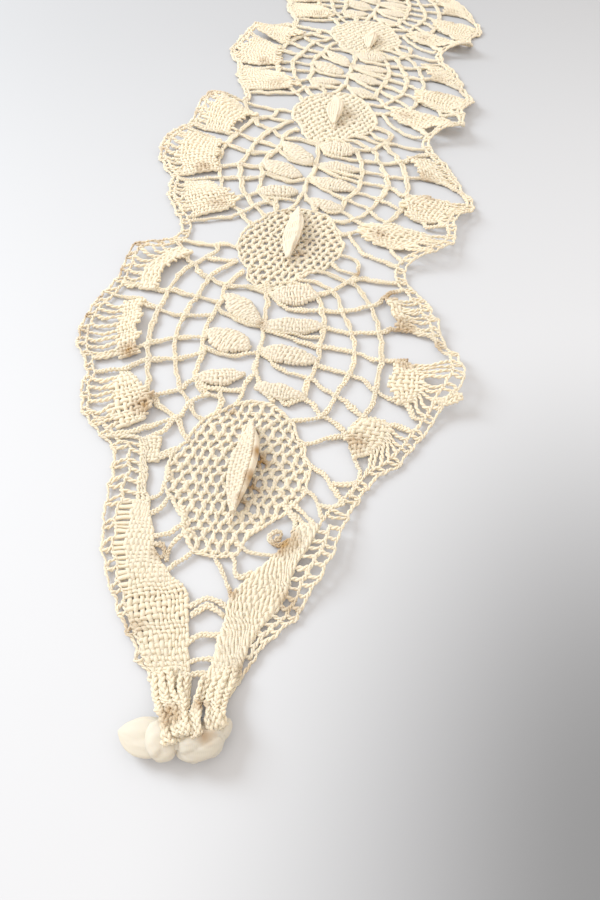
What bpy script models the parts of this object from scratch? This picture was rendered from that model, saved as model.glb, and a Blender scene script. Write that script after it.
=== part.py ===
"""A strip of bobbin lace: wheels and diamonds between two fan edges, with one end tied in a knot.

The strip is charted flat, in millimetres: a distance along its middle line from the tied end, and
an offset across it, plus to the right. Each wheel repeats the same chart, and the middle line
bends the chart into the gentle curve in which the strip lies. Everything is built in metres.
"""
import math

import bmesh
import bpy
from mathutils import Vector
from mathutils.geometry import delaunay_2d_cdt

MM = 0.001

# Driving sizes, mm
REPEAT = 85.0             # from one wheel's middle to the next
FIRST_WHEEL = 102.0       # from the tied end to the first wheel's middle
WHEEL_COUNT = 4
THREAD_SHEET = 1.3        # thickness of the plaits and the net
LEAF_RISE = 1.0           # how far a woven leaf or fan patch stands above them
PLAIT = 1.5               # width of a plait between two openings
CORNER_CUT = 0.27         # share of an opening's side that its rounded corner takes
OVAL_SIDES = 8
PIN_STEP = 2.5            # least distance between two corners of an outer edge
LEAF_SHOULDER = 0.28      # share of a leaf's length from each tip to its full width
SEAT_GAP = 0.3            # clearance between two pieces that touch
START_X = 7.6             # where the tied end lies, from the middle of the strip's box
START_Y = -194.5

# The middle line. Columns: distance mm, heading in degrees right of +Y, length of one charted
# millimetre, slant of the rows, then how far the left and the right side are spread
BENDS = (
    (0.0, -8.5, 1.0, 0.0, 1.0, 1.0),
    (60.0, -4.5, 1.0, 0.0, 1.0, 1.0),
    (102.0, -3.2, 1.0, 0.0, 1.0, 1.0),
    (145.0, 0.8, 1.0, 0.0, 1.0, 1.0),
    (187.0, 2.0, 1.0, -0.10, 1.14, 1.07),
    (230.0, 2.4, 1.0, -0.20, 1.10, 1.02),
    (272.0, 2.6, 0.94, -0.26, 1.14, 1.0),
    (320.0, 3.0, 0.88, -0.30, 1.06, 1.0),
    (400.0, 3.4, 0.92, -0.24, 1.0, 1.0),
)

# Places where an edge curls up. Columns: wheel, along mm, across mm, height mm, reach mm
LIFTS = (
    (0, -62.0, 24.0, 2.2, 15.0),
    (0, -12.0, 52.0, 3.6, 18.0),
    (0, 15.0, 48.0, 1.6, 14.0),
    (0, 36.0, -42.0, 1.6, 14.0),
    (1, -42.0, 46.0, 4.0, 15.0),
    (1, -20.0, 54.0, 3.4, 16.0),
    (1, 8.0, -48.0, 2.6, 14.0),
    (1, 33.0, -42.0, 5.0, 16.0),
    (2, -43.0, 46.0, 5.4, 16.0),
    (2, -18.0, 54.0, 3.4, 16.0),
    (2, 20.0, -46.0, 4.0, 16.0),
    (3, -43.0, 46.0, 5.0, 16.0),
    (3, 6.0, -48.0, 2.4, 14.0),
)

# Plaited rings where they meet each spoke of a wheel. Columns: spoke, then across and along in
# mm on the inner, the middle and the outer ring, measured from the wheel's middle.
LEFT_SPOKES = (
    ("near arc", 9.2, -20.4, 13.0, -23.6, 15.6, -28.4),
    ("near slant", 12.9, -15.4, 16.5, -18.6, 22.2, -22.3),
    ("near pair a", 13.4, -6.3, 20.0, -9.0, 26.2, -10.2),
    ("near pair b", 14.4, -0.6, 21.6, -1.3, 27.8, -4.2),
    ("middle", 13.9, 8.7, 20.9, 7.5, 29.0, 9.5),
    ("far pair", 12.3, 14.0, 19.9, 15.4, 28.1, 17.7),
    ("far arc", 12.4, 21.0, 17.9, 24.4, 25.8, 25.4),
)
RIGHT_SPOKES = (
    ("near arc", 13.9, -19.6, 18.5, -24.2, 25.0, -29.4),
    ("near slant", 14.5, -12.6, 21.8, -17.3, 28.6, -23.4),
    ("near middle", 16.1, -7.0, 24.2, -9.8, 31.3, -14.2),
    ("middle", 16.6, -0.3, 25.3, -1.3, 32.2, -4.4),
    ("far middle", 16.6, 7.2, 23.9, 6.7, 31.0, 7.0),
    ("far pair", 15.3, 14.2, 21.0, 14.8, 28.1, 17.8),
    ("far arc", 12.6, 20.8, 17.5, 23.3, 21.3, 28.0),
)

# Openings of a wheel that no ring and spoke bound.
# Columns: place, across, along, width, length mm, lean in degrees
LEFT_GAPS = (
    ("diamond corner", -11.6, -29.6, 4.2, 5.4, 10.0),
    ("diamond shoulder", -9.0, -24.2, 4.6, 5.6, 15.0),
    ("diamond tip", -3.6, -20.0, 4.6, 3.8, 0.0),
    ("between near leaves", -6.4, -8.6, 11.4, 4.2, 0.0),
    ("beside trunk", -1.9, 2.8, 3.4, 4.2, 0.0),
    ("under far leaf", -6.2, 18.6, 8.4, 3.2, 12.0),
    ("between fans a b", -34.6, -11.9, 9.2, 3.6, 12.0),
    ("inside fan b", -32.0, 3.4, 3.0, 13.6, -6.0),
    ("between fans b c", -35.0, 15.4, 10.0, 4.4, 8.0),
    ("inside fan c", -30.0, 26.6, 5.4, 13.6, -14.0),
    ("side bay", -24.6, 34.4, 6.4, 6.6, 0.0),
    ("side bay two", -18.8, 29.8, 5.2, 5.6, 20.0),
    ("side bay three", -14.6, 35.8, 5.0, 5.8, 0.0),
    ("side bay four", -9.8, 30.4, 4.4, 4.6, 0.0),
    ("beside diamond", -15.6, -35.2, 5.2, 6.8, 10.0),
    ("between fans d a", -22.8, -29.4, 8.4, 4.4, -30.0),
)
RIGHT_GAPS = (
    ("diamond shoulder", 13.6, -23.4, 5.2, 4.4, 0.0),
    ("diamond corner", 17.2, -28.8, 6.2, 4.4, 12.0),
    ("between near leaves", 8.2, -12.4, 10.0, 4.8, 24.0),
    ("between far leaves", 9.0, 11.6, 11.4, 3.2, 0.0),
    ("between fans a b", 34.8, -21.8, 9.4, 5.2, 24.0),
    ("oval", 39.2, 2.2, 12.2, 10.4, 0.0),
    ("inside fan c", 31.9, 13.8, 3.2, 9.6, 14.0),
    ("notch bay", 28.2, 24.6, 6.6, 7.6, 20.0),
    ("under diamond", 15.8, 27.4, 4.4, 4.8, 20.0),
    ("notch bay two", 27.4, 35.8, 11.6, 7.2, 0.0),
    ("side bay", 18.6, 35.0, 4.2, 4.6, 20.0),
    ("side bay two", 20.4, 45.4, 4.4, 6.4, 0.0),
    ("side bay three", 28.0, 47.2, 7.0, 9.6, -32.0),
)

# Openings of the two tapes and the first diamond, same columns, measured from the first wheel
TAPE_GAPS = (
    ("right oval", 23.4, -37.4, 10.4, 11.4, -8.0),
    ("right corner", 21.8, -47.0, 5.6, 5.4, 30.0),
    ("right slot", 17.4, -51.4, 3.6, 6.8, -22.0),
    ("right curl", 12.4, -55.4, 5.4, 5.4, 20.0),
    ("right curl two", 9.2, -60.4, 6.0, 4.6, 10.0),
    ("right foot", 6.6, -64.8, 5.4, 3.8, 14.0),
    ("right foot slot", 4.1, -67.2, 2.4, 6.0, -38.0),
    ("fork", -1.3, -68.0, 6.4, 9.8, -24.0),
    ("between tapes", 0.3, -78.6, 4.2, 4.0, 10.0),
    ("left curl", -16.8, -44.6, 3.8, 4.4, 0.0),
    ("left slot", -9.9, -56.2, 3.2, 6.0, 10.0),
    ("left foot", -7.4, -61.4, 3.2, 6.2, -36.0),
)

# Outer edge of one repeat and of the tapes, from pin to pin. Columns: along mm, across mm
LEFT_EDGE = (
    (-39.0, -33.2), (-34.0, -35.4), (-29.2, -38.0), (-24.4, -40.3), (-19.8, -41.4),
    (-14.6, -41.8), (-10.4, -44.6), (-5.0, -47.6), (1.2, -48.5), (6.8, -48.1), (12.8, -46.5),
    (18.8, -45.3), (24.4, -45.0), (29.8, -44.7), (34.2, -43.6), (37.8, -38.0), (41.2, -33.4),
)
RIGHT_EDGE = (
    (-45.6, 40.7), (-42.6, 45.6), (-38.0, 48.4), (-31.8, 49.6), (-26.6, 49.4), (-21.0, 48.6),
    (-16.2, 50.2), (-12.4, 52.3), (-6.2, 52.6), (-0.6, 51.6), (4.2, 48.9), (10.4, 47.7),
    (16.0, 45.6), (21.6, 44.0), (26.4, 41.0), (31.4, 38.2), (35.8, 37.6),
)
LEFT_TAPE_EDGE = (
    (-92.8, -5.4), (-90.6, -7.4), (-87.0, -10.2), (-82.6, -13.0), (-77.2, -16.6),
    (-70.6, -20.6), (-63.6, -23.8), (-57.4, -25.2), (-50.8, -25.8), (-44.4, -26.4),
    (-39.4, -27.6), (-35.8, -30.6), (-32.6, -34.8),
)
RIGHT_TAPE_EDGE = (
    (-92.8, 5.6), (-89.4, 7.2), (-84.6, 9.8), (-79.8, 13.8), (-74.6, 18.2), (-68.6, 21.2),
    (-62.6, 23.8), (-57.0, 25.6), (-51.6, 27.2), (-46.6, 29.2), (-42.4, 32.4), (-37.8, 37.0),
    (-32.8, 40.6), (-28.0, 43.2), (-23.2, 45.8),
)
# The far end, closed by a plain woven band, measured from the last wheel
END_EDGE = (
    (24.0, -44.6), (30.0, -41.6), (35.0, -35.8), (38.6, -27.0), (40.6, -16.0), (41.2, -4.0),
    (40.6, 8.0), (38.4, 19.6), (34.6, 29.6), (29.4, 37.4), (23.0, 42.6),
)
END_BAND = 24.0           # openings whose middle lies farther along than this are left out there
END_CORNER_ALONG = 18.0   # and at the band's two corners those past these two
END_CORNER_ACROSS = 33.0

# Flat woven leaves of a wheel, root and tip.
# Columns: root across, root along, tip across, tip along, width mm
WHEEL_LEAVES = (
    (-1.6, -13.6, -12.0, -15.2, 4.6),
    (-2.6, -3.8, -13.4, 1.6, 5.8),
    (-1.4, 7.6, -9.2, 15.0, 5.2),
    (1.2, -17.0, 13.2, -19.0, 3.8),
    (1.8, -1.6, 15.4, -6.0, 5.4),
    (1.8, 6.8, 15.4, 6.8, 5.2),
    (2.6, 18.6, 12.6, 20.2, 7.6),
)
# Cloth-stitch patch that gathers the threads of each fan. Columns as for the leaves.
FAN_PATCHES = (
    (-31.0, -14.6, -27.4, -28.6, 6.4),
    (-37.2, -8.6, -37.4, 12.6, 5.4),
    (-37.4, 19.2, -36.0, 34.0, 4.8),
    (38.0, -4.8, 38.4, -19.6, 6.4),
    (36.4, 9.4, 35.4, 24.4, 3.2),
)

# Raised leaf over each diamond. Columns: wheel that follows it, root and tip (across, along),
# width mm
RELIEF_LEAVES = (
    (0, 3.0, -29.4, 2.4, -53.2, 6.0),
    (1, 1.2, -24.4, 3.0, -49.6, 5.6),
    (2, -0.4, -29.4, 2.6, -49.2, 6.4),
    (3, 3.4, -38.4, 5.2, -57.6, 6.2),
)

# Lumps of the tied end. Columns: across, distance from the tied end, height of the middle,
# then half width, half length and half height, mm, and turn in degrees
KNOT_LUMPS = (
    (-1.6, 5.4, 3.2, 4.2, 3.6, 3.1, 0.0),
    (2.4, 4.2, 3.1, 3.8, 4.2, 3.0, 14.0),
    (5.2, 5.8, 2.4, 2.0, 2.2, 1.8, 30.0),
    (-7.0, 3.4, 1.7, 5.6, 2.6, 1.5, -16.0),
)

RELIEF_TIP = 0.34         # a relief leaf's thickness at its tips, as a share of its middle
RELIEF_SWELL = 0.8        # power of the sine that its thickness follows: below one is fuller
RELIEF_FLAT = 0.46        # its height as a share of its width
RELIEF_ARCH = 0.5         # how far its middle stands off the net, mm
RELIEF_STEPS = 8
LUMP_SEGMENTS = 14
LUMP_RINGS = 9
CREASE_ANGLE = 35.0       # degrees; edges sharper than this are shaded sharp

LINEN = (0.87, 0.78, 0.60, 1.0)
LINEN_LIGHT = (0.90, 0.83, 0.68, 1.0)


def bend_at(distance):
    """Heading in radians, length scale, slant, left and right spread at a distance."""
    row = BENDS[0] if distance <= BENDS[0][0] else BENDS[-1]
    for start, end in zip(BENDS, BENDS[1:]):
        if start[0] < distance <= end[0]:
            share = (distance - start[0]) / (end[0] - start[0])
            row = [low + share * (high - low) for low, high in zip(start, end)]
    return math.radians(row[1]), row[2], row[3], row[4], row[5]


def walk_middle_line(first, last):
    """Points of the middle line, one for each charted millimetre of distance."""
    points = {0: (START_X, START_Y)}
    for step, stop in ((1, last), (-1, first)):
        for here in range(0, stop, step):
            heading, scale = bend_at(here + step / 2)[:2]
            x, y = points[here]
            points[here + step] = (x + step * scale * math.sin(heading),
                                   y + step * scale * math.cos(heading))
    return points


MIDDLE_LINE = walk_middle_line(-40, 460)


def wheel_distance(wheel):
    """Distance of a wheel's middle from the tied end."""
    return FIRST_WHEEL + wheel * REPEAT


def lift_at(distance, across):
    """Height of the strip's underside over the table, mm: nought but at the curled edges."""
    height = 0.0
    for wheel, along, side, rise, reach in LIFTS:
        away = math.hypot(distance - wheel_distance(wheel) - along, across - side) / reach
        if away < 1.0:
            height += rise * (1.0 - away * away) ** 2
    return height


def flat_place(distance, across):
    """Chart position to x and y in mm, along the bent middle line."""
    slant, left, right = bend_at(distance)[2:]
    across *= left if across < 0.0 else right
    distance += slant * across
    whole = math.floor(distance)
    x0, y0 = MIDDLE_LINE[whole]
    x1, y1 = MIDDLE_LINE[whole + 1]
    share = distance - whole
    heading = bend_at(distance)[0]
    x = x0 + share * (x1 - x0) + across * math.cos(heading)
    y = y0 + share * (y1 - y0) - across * math.sin(heading)
    return x, y


def place(distance, across, height=0.0):
    """Chart position and height over the strip's underside to a point in metres."""
    x, y = flat_place(distance, across)
    return Vector((x, y, lift_at(distance, across) + height)) * MM


def oval(centre_along, centre_across, width, length, lean):
    """Corners of an oval opening, with a flat at each end and side."""
    turn = math.radians(lean)
    reach = 0.5 / math.cos(math.pi / OVAL_SIDES)
    corners = []
    for number in range(OVAL_SIDES):
        angle = 2.0 * math.pi * (number + 0.5) / OVAL_SIDES
        right = reach * width * math.cos(angle)
        up = reach * length * math.sin(angle)
        corners.append((centre_along + up * math.cos(turn) - right * math.sin(turn),
                        centre_across + up * math.sin(turn) + right * math.cos(turn)))
    return corners


def rounded_cell(corners):
    """A four-sided mesh between plaits: drawn in by half a plait, its corners cut off."""
    draw_in = PLAIT / math.sqrt(2.0)
    middle_along = sum(corner[0] for corner in corners) / len(corners)
    middle_across = sum(corner[1] for corner in corners) / len(corners)
    drawn = []
    for along, across in corners:
        reach = math.hypot(along - middle_along, across - middle_across)
        share = 1.0 - draw_in / reach
        drawn.append((middle_along + share * (along - middle_along),
                      middle_across + share * (across - middle_across)))
    cell = []
    for index, corner in enumerate(drawn):
        for other in (drawn[index - 1], drawn[(index + 1) % len(drawn)]):
            cell.append((corner[0] + CORNER_CUT * (other[0] - corner[0]),
                         corner[1] + CORNER_CUT * (other[1] - corner[1])))
    return cell


def ring_cells(spokes, side):
    """Openings between the rings of one side, one for each pair of spokes and of rings."""
    cells = []
    for near, far in zip(spokes, spokes[1:]):
        for ring in (1, 3):
            corners = [
                (near[ring + 1], side * near[ring]),
                (near[ring + 3], side * near[ring + 2]),
                (far[ring + 3], side * far[ring + 2]),
                (far[ring + 1], side * far[ring]),
            ]
            cells.append(rounded_cell(corners))
    return cells


def wheel_openings():
    """Every opening of one wheel, as loops of (along, across)."""
    cells = ring_cells(LEFT_SPOKES, -1.0) + ring_cells(RIGHT_SPOKES, 1.0)
    for _place, across, along, width, length, lean in LEFT_GAPS + RIGHT_GAPS:
        cells.append(oval(along, across, width, length, lean))
    return cells


def middle_of(loop):
    """Mean of a loop's corners."""
    count = len(loop)
    return sum(point[0] for point in loop) / count, sum(point[1] for point in loop) / count


def all_openings():
    """Openings of the whole strip, as loops of (distance, across)."""
    loops = []
    for wheel in range(WHEEL_COUNT):
        base = wheel_distance(wheel)
        for loop in wheel_openings():
            along, across = middle_of(loop)
            if wheel == WHEEL_COUNT - 1 and along > END_BAND:
                continue
            in_corner = along > END_CORNER_ALONG and abs(across) > END_CORNER_ACROSS
            if wheel == WHEEL_COUNT - 1 and in_corner:
                continue
            loops.append([(base + point[0], point[1]) for point in loop])
    base = wheel_distance(0)
    for _place, across, along, width, length, lean in TAPE_GAPS:
        loops.append([(base + point[0], point[1])
                      for point in oval(along, across, width, length, lean)])
    return loops


def side_edge(repeat_rows, tape_rows):
    """One outer edge from the knot to the far end, as (distance, across)."""
    rows = [(wheel_distance(0) + along, across) for along, across in tape_rows]
    for wheel in range(WHEEL_COUNT):
        for along, across in repeat_rows:
            distance = wheel_distance(wheel) + along
            if distance <= rows[-1][0] + PIN_STEP:
                continue
            if wheel == WHEEL_COUNT - 1 and along > END_EDGE[0][0] - PIN_STEP:
                continue
            rows.append((distance, across))
    return rows


def outline():
    """Outer edge of the strip as one closed loop of (distance, across)."""
    left = side_edge(LEFT_EDGE, LEFT_TAPE_EDGE)
    right = side_edge(RIGHT_EDGE, RIGHT_TAPE_EDGE)
    last = wheel_distance(WHEEL_COUNT - 1)
    end = [(last + along, across) for along, across in END_EDGE]
    return left + end + right[::-1]


def leaf_loops(row):
    """Outline and ridge of a woven leaf, as points of (along, across)."""
    root = Vector((row[1], row[0]))
    tip = Vector((row[3], row[2]))
    length = (tip - root).length
    run = (tip - root) / length
    beside = Vector((-run.y, run.x)) * row[4] / 2.0
    near = root + run * LEAF_SHOULDER * length
    far = tip - run * LEAF_SHOULDER * length
    rim = [root, near + beside, far + beside, tip, far - beside, near - beside]
    return rim, [near, far]


def material(name, colour, roughness):
    """A plain matt yarn material."""
    result = bpy.data.materials.new(name)
    result.use_nodes = True
    shader = result.node_tree.nodes["Principled BSDF"]
    shader.inputs["Base Color"].default_value = colour
    shader.inputs["Roughness"].default_value = roughness
    return result


def add_object(name, mesh, collection, skin):
    """Link a mesh as a named, smooth-shaded object."""
    mesh.materials.clear()
    mesh.materials.append(skin)
    mesh.shade_smooth()
    mesh.set_sharp_from_angle(angle=math.radians(CREASE_ANGLE))
    piece = bpy.data.objects.new(name, mesh)
    collection.objects.link(piece)
    return piece


def in_loop(point, loop):
    """Whether a chart point lies inside a closed loop."""
    inside = False
    for (a0, c0), (a1, c1) in zip(loop, loop[1:] + loop[:1]):
        if (c0 > point[1]) != (c1 > point[1]):
            if point[0] < a0 + (point[1] - c0) * (a1 - a0) / (c1 - c0):
                inside = not inside
    return inside


def build_strip(collection, skin):
    """The lace strip: its chart filled as an open surface, then thickened upward."""
    points = []
    edges = []
    owners = []
    ridges = set()

    def add_loop(loop, owner):
        first = len(points)
        count = len(loop)
        points.extend(Vector(point) for point in loop)
        owners.extend([owner] * count)
        edges.extend((first + index, first + (index + 1) % count) for index in range(count))

    add_loop(outline(), None)
    openings = all_openings()
    for number, loop in enumerate(openings):
        add_loop(loop, number)
    for base, row in raised_rows():
        rim, ridge = leaf_loops(row)
        add_loop([(base + point[0], point[1]) for point in rim], None)
        ridges.update((len(points), len(points) + 1))
        edges.append((len(points), len(points) + 1))
        points.extend(Vector((base + point[0], point[1])) for point in ridge)
        owners.extend((None, None))
    filled, _edges, faces, origins, _from_edges, _from_faces = delaunay_2d_cdt(
        points, edges, [], 1, 1.0e-5)

    sources = [source[0] if source else None for source in origins]
    surface = bmesh.new()
    for point in filled:
        surface.verts.new(place(point[0], point[1]))
    surface.verts.ensure_lookup_table()
    for face in faces:
        belongs = {owners[sources[index]] if sources[index] is not None else None
                   for index in face}
        if len(belongs) == 1 and None not in belongs:
            middle = sum((filled[index] for index in face), Vector((0.0, 0.0))) / len(face)
            if in_loop(middle, openings[belongs.pop()]):
                continue
        surface.faces.new([surface.verts[index] for index in reversed(face)])
    surface.normal_update()
    mesh = bpy.data.meshes.new("lace_strip")
    surface.to_mesh(mesh)
    surface.free()
    strip = add_object("lace_strip", mesh, collection, skin)
    full = THREAD_SHEET + LEAF_RISE
    rise = strip.vertex_groups.new(name="rise")
    for index, source in enumerate(sources):
        share = 1.0 if source in ridges else THREAD_SHEET / full
        rise.add([index], share, 'REPLACE')
    shell = strip.modifiers.new("plait thickness", 'SOLIDIFY')
    shell.thickness = full * MM
    shell.offset = 1.0
    shell.vertex_group = rise.name
    return strip


def raised_rows():
    """Flat leaves and fan patches of every wheel, with the wheel's distance."""
    rows = []
    for wheel in range(WHEEL_COUNT):
        base = wheel_distance(wheel)
        for row in WHEEL_LEAVES + FAN_PATCHES:
            if wheel == WHEEL_COUNT - 1 and row[3] > END_BAND:
                continue
            rows.append((base, row))
    return rows


def build_relief_leaf(number, row, collection, skin):
    """A spindle-shaped woven leaf that arches over the net, down on it at both ends."""
    wheel, far_across, far_along, near_across, near_along, width = row
    base = wheel_distance(wheel)
    curve = bpy.data.curves.new("relief_leaf_%d" % number, 'CURVE')
    curve.dimensions = '3D'
    curve.bevel_depth = width / 2.0 * MM
    curve.bevel_resolution = 2
    curve.use_fill_caps = True
    spline = curve.splines.new('POLY')
    spline.points.add(RELIEF_STEPS)
    for step in range(RELIEF_STEPS + 1):
        share = step / RELIEF_STEPS
        bulge = max(math.sin(math.pi * share), 0.0) ** RELIEF_SWELL
        swell = RELIEF_TIP + (1.0 - RELIEF_TIP) * bulge
        along = far_along + share * (near_along - far_along)
        across = far_across + share * (near_across - far_across)
        height = THREAD_SHEET + SEAT_GAP + RELIEF_FLAT * swell * width / 2.0
        height += RELIEF_ARCH * math.sin(math.pi * share)
        spot = place(base + along, across, height)
        spline.points[step].co = (spot.x, spot.y, spot.z / RELIEF_FLAT, 1.0)
        spline.points[step].radius = swell
    holder = bpy.data.objects.new("relief_leaf_guide", curve)
    collection.objects.link(holder)
    graph = bpy.context.evaluated_depsgraph_get()
    mesh = bpy.data.meshes.new_from_object(holder.evaluated_get(graph))
    bpy.data.objects.remove(holder, do_unlink=True)
    shape = bmesh.new()
    shape.from_mesh(mesh)
    bmesh.ops.remove_doubles(shape, verts=shape.verts, dist=0.00001)
    bmesh.ops.scale(shape, vec=(1.0, 1.0, RELIEF_FLAT), verts=shape.verts)
    shape.to_mesh(mesh)
    shape.free()
    mesh.name = "relief_leaf_%d" % number
    return add_object(mesh.name, mesh, collection, skin)


def build_knot(collection, cutters, skin):
    """The knot and tuft of the tied end: four lumps joined into one."""
    lumps = []
    for across, distance, height, half_width, half_length, half_height, turn in KNOT_LUMPS:
        shape = bmesh.new()
        bmesh.ops.create_uvsphere(shape, u_segments=LUMP_SEGMENTS, v_segments=LUMP_RINGS,
                                  radius=1.0)
        bmesh.ops.scale(shape, vec=Vector((half_width, half_length, half_height)) * MM,
                        verts=shape.verts)
        mesh = bpy.data.meshes.new("knot_lump")
        shape.to_mesh(mesh)
        shape.free()
        lump = bpy.data.objects.new("knot_lump", mesh)
        lump.location = place(distance, across, height)
        lump.rotation_euler.z = -bend_at(distance)[0] + math.radians(turn)
        lumps.append(lump)
    knot = lumps[0]
    knot.name = "end_knot"
    knot.data.name = "end_knot"
    knot.data.materials.append(skin)
    knot.data.shade_smooth()
    collection.objects.link(knot)
    for lump in lumps[1:]:
        cutters.objects.link(lump)
        lump.hide_render = True
        lump.display_type = 'WIRE'
        join = knot.modifiers.new("join lump", 'BOOLEAN')
        join.operation = 'UNION'
        join.solver = 'EXACT'
        join.object = lump
    return knot


def main():
    """Build the lace in an empty scene."""
    for stale in list(bpy.data.objects):
        bpy.data.objects.remove(stale, do_unlink=True)
    lace = bpy.data.collections.new("bobbin_lace_strip")
    cutters = bpy.data.collections.new("lace_cutters")
    bpy.context.scene.collection.children.link(lace)
    bpy.context.scene.collection.children.link(cutters)
    linen = material("lace_thread", LINEN, 0.85)
    leaf_linen = material("leaf_thread", LINEN_LIGHT, 0.80)
    build_strip(lace, linen)
    for number, row in enumerate(RELIEF_LEAVES, start=1):
        build_relief_leaf(number, row, lace, leaf_linen)
    build_knot(lace, cutters, linen)


main()
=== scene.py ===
"""Looks of the bobbin lace strip: every plait, net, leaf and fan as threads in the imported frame.

The lace is charted flat in millimetres, as (across, distance, height), and bent into place at
the end: distance runs along the middle line from the tied end, across is plus to the right, and
height is over the strip's underside. A wheel's own chart counts distance from the wheel's middle.
"""
import math

import bpy
import numpy as np
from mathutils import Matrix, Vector


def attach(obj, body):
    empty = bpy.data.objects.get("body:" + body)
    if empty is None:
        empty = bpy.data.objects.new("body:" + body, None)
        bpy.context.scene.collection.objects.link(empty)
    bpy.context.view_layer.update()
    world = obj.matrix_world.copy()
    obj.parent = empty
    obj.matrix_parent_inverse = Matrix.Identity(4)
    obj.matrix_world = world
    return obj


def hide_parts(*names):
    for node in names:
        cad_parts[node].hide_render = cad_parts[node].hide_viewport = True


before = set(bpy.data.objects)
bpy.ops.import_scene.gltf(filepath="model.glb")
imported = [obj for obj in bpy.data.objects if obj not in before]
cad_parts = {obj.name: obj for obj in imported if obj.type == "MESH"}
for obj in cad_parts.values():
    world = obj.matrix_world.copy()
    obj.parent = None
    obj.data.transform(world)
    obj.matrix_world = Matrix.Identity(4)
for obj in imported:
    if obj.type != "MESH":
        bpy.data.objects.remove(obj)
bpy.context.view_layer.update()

MM = 0.001

# ---------------------------------------------------------------- the chart's own frame
REPEAT = 85.0             # from one wheel's middle to the next, mm
FIRST_WHEEL = 102.0       # from the tied end to the first wheel's middle
FIRST_DIAMOND = 59.0      # and to the first diamond's middle
WHEEL_COUNT = 4
START_X = 7.6             # where the middle line starts, mm
START_Y = -194.5
CHART_ENDS = (-40, 460)   # distances between which the middle line is walked
MIDDLE = 0.65             # height of the middle of the plaits
END_BAND = 24.0           # where the closing band of the far end begins, from the last wheel

# Columns: distance mm, heading in degrees right of +Y, length of one charted millimetre, slant
# of the rows, then how far the left and the right side are spread
BENDS = (
    (0.0, -8.5, 1.0, 0.0, 1.0, 1.0),
    (60.0, -4.5, 1.0, 0.0, 1.0, 1.0),
    (102.0, -3.2, 1.0, 0.0, 1.0, 1.0),
    (145.0, 0.8, 1.0, 0.0, 1.0, 1.0),
    (187.0, 2.0, 1.0, -0.10, 1.14, 1.07),
    (230.0, 2.4, 1.0, -0.20, 1.10, 1.02),
    (272.0, 2.6, 0.94, -0.26, 1.14, 1.0),
    (320.0, 3.0, 0.88, -0.30, 1.06, 1.0),
    (400.0, 3.4, 0.92, -0.24, 1.0, 1.0),
)

# Places where an edge curls up. Columns: wheel, along mm, across mm, height mm, reach mm
LIFTS = (
    (0, -62.0, 24.0, 2.2, 15.0),
    (0, -12.0, 52.0, 3.6, 18.0),
    (0, 15.0, 48.0, 1.6, 14.0),
    (0, 36.0, -42.0, 1.6, 14.0),
    (1, -42.0, 46.0, 4.0, 15.0),
    (1, -20.0, 54.0, 3.4, 16.0),
    (1, 8.0, -48.0, 2.6, 14.0),
    (1, 33.0, -42.0, 5.0, 16.0),
    (2, -43.0, 46.0, 5.4, 16.0),
    (2, -18.0, 54.0, 3.4, 16.0),
    (2, 20.0, -46.0, 4.0, 16.0),
    (3, -43.0, 46.0, 5.0, 16.0),
    (3, 6.0, -48.0, 2.4, 14.0),
)

# Waves that pull the threads off their even lines. Columns: direction in degrees, length, shift
# across, shift along, rise, mm
WOBBLES = (
    (20.0, 11.0, 0.30, 0.16, 0.06),
    (95.0, 7.3, 0.12, 0.26, 0.06),
    (150.0, 4.7, 0.12, 0.08, 0.05),
    (62.0, 3.3, 0.06, 0.08, 0.05),
    (118.0, 2.3, 0.04, 0.04, 0.04),
)
FLOOR_GAP = 0.02          # the least height of a thread's underside, mm

# ---------------------------------------------------------------- threads
# Columns: threads, half width, half height, thread radius, length of one turn, mm
KINDS = {
    "plait": (3, 0.47, 0.28, 0.28, 2.7),
    "fine plait": (3, 0.38, 0.24, 0.25, 2.5),
    "pair": (2, 0.23, 0.22, 0.25, 2.6),
    "rib": (2, 0.25, 0.22, 0.29, 2.8),
    "net pair": (2, 0.24, 0.14, 0.28, 2.3),
    "cord": (2, 0.20, 0.19, 0.24, 2.4),
    "gather": (3, 0.36, 0.28, 0.30, 3.2),
}
# The far end's plaits are fuller. Columns: distance mm, thickness beside the tied end's
THICKNESS = (
    (150.0, 1.0),
    (187.0, 1.22),
    (272.0, 1.36),
    (400.0, 1.42),
)
NET_THICKNESS = (1.18, 1.28, 1.45, 1.5)       # the same again for the threads of each net
SEED = 7                  # of each piece's random draws
LOOSENESS = 0.26          # how much a plait opens and closes along its run, as a share
SWAY = 0.20               # how far a plait wanders off its line, mm
SWAY_LENGTH = 7.0         # length of one such wander, mm
SWAY_WAVES = ((0.6, 1.0), (0.4, 2.6))         # its waves: share, and how many fit in that length
STEP = 0.42               # distance between a thread's rings, mm
FAR_STEP = (1.0, 1.1, 1.3, 1.4)       # how much longer it is in each wheel
SIDES = 4                 # corners of a thread's section
CLOTH_THREAD = 0.52       # radius of a thread pair in cloth stitch
CLOTH_WAVE = 0.20         # how far it rises and falls over the others
CLOTH_FLATNESS = 0.75     # height of its section beside its width
CLOTH_SWAY = 0.12         # how far an upright thread wanders sideways
CLOTH_SAMPLES = 3         # points of a thread from one crossing to the next
CLOTH_CROWN = (0.04, 0.5)             # cloth that swells: margin at its ends, power
ROW_JITTER = 0.125        # how far a row lies off its even place, in rows
EVEN = ((0.0, 1.0), (1.0, 1.0))       # uprights over the whole width from end to end
LEANING = ((0.0, 1.0), (1.0, 0.0))    # a patch that stands up at its inner side
DOMED = ((0.0, 0.15, 0.5, 0.85, 1.0), (0.0, 0.62, 1.0, 0.62, 0.0))    # one that swells
ROPE_TURN = 3.0           # length of one turn of a tape's twisted uprights, mm
ROPE_PHASE = 6.0          # the turns at which they begin differ by up to this, radians
ROPE_LIFT = 0.2           # how far they lie over the rows
ROPE_SHAPE = (0.8, 0.6)   # half width and half height of their twist, beside the thread's radius
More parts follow.
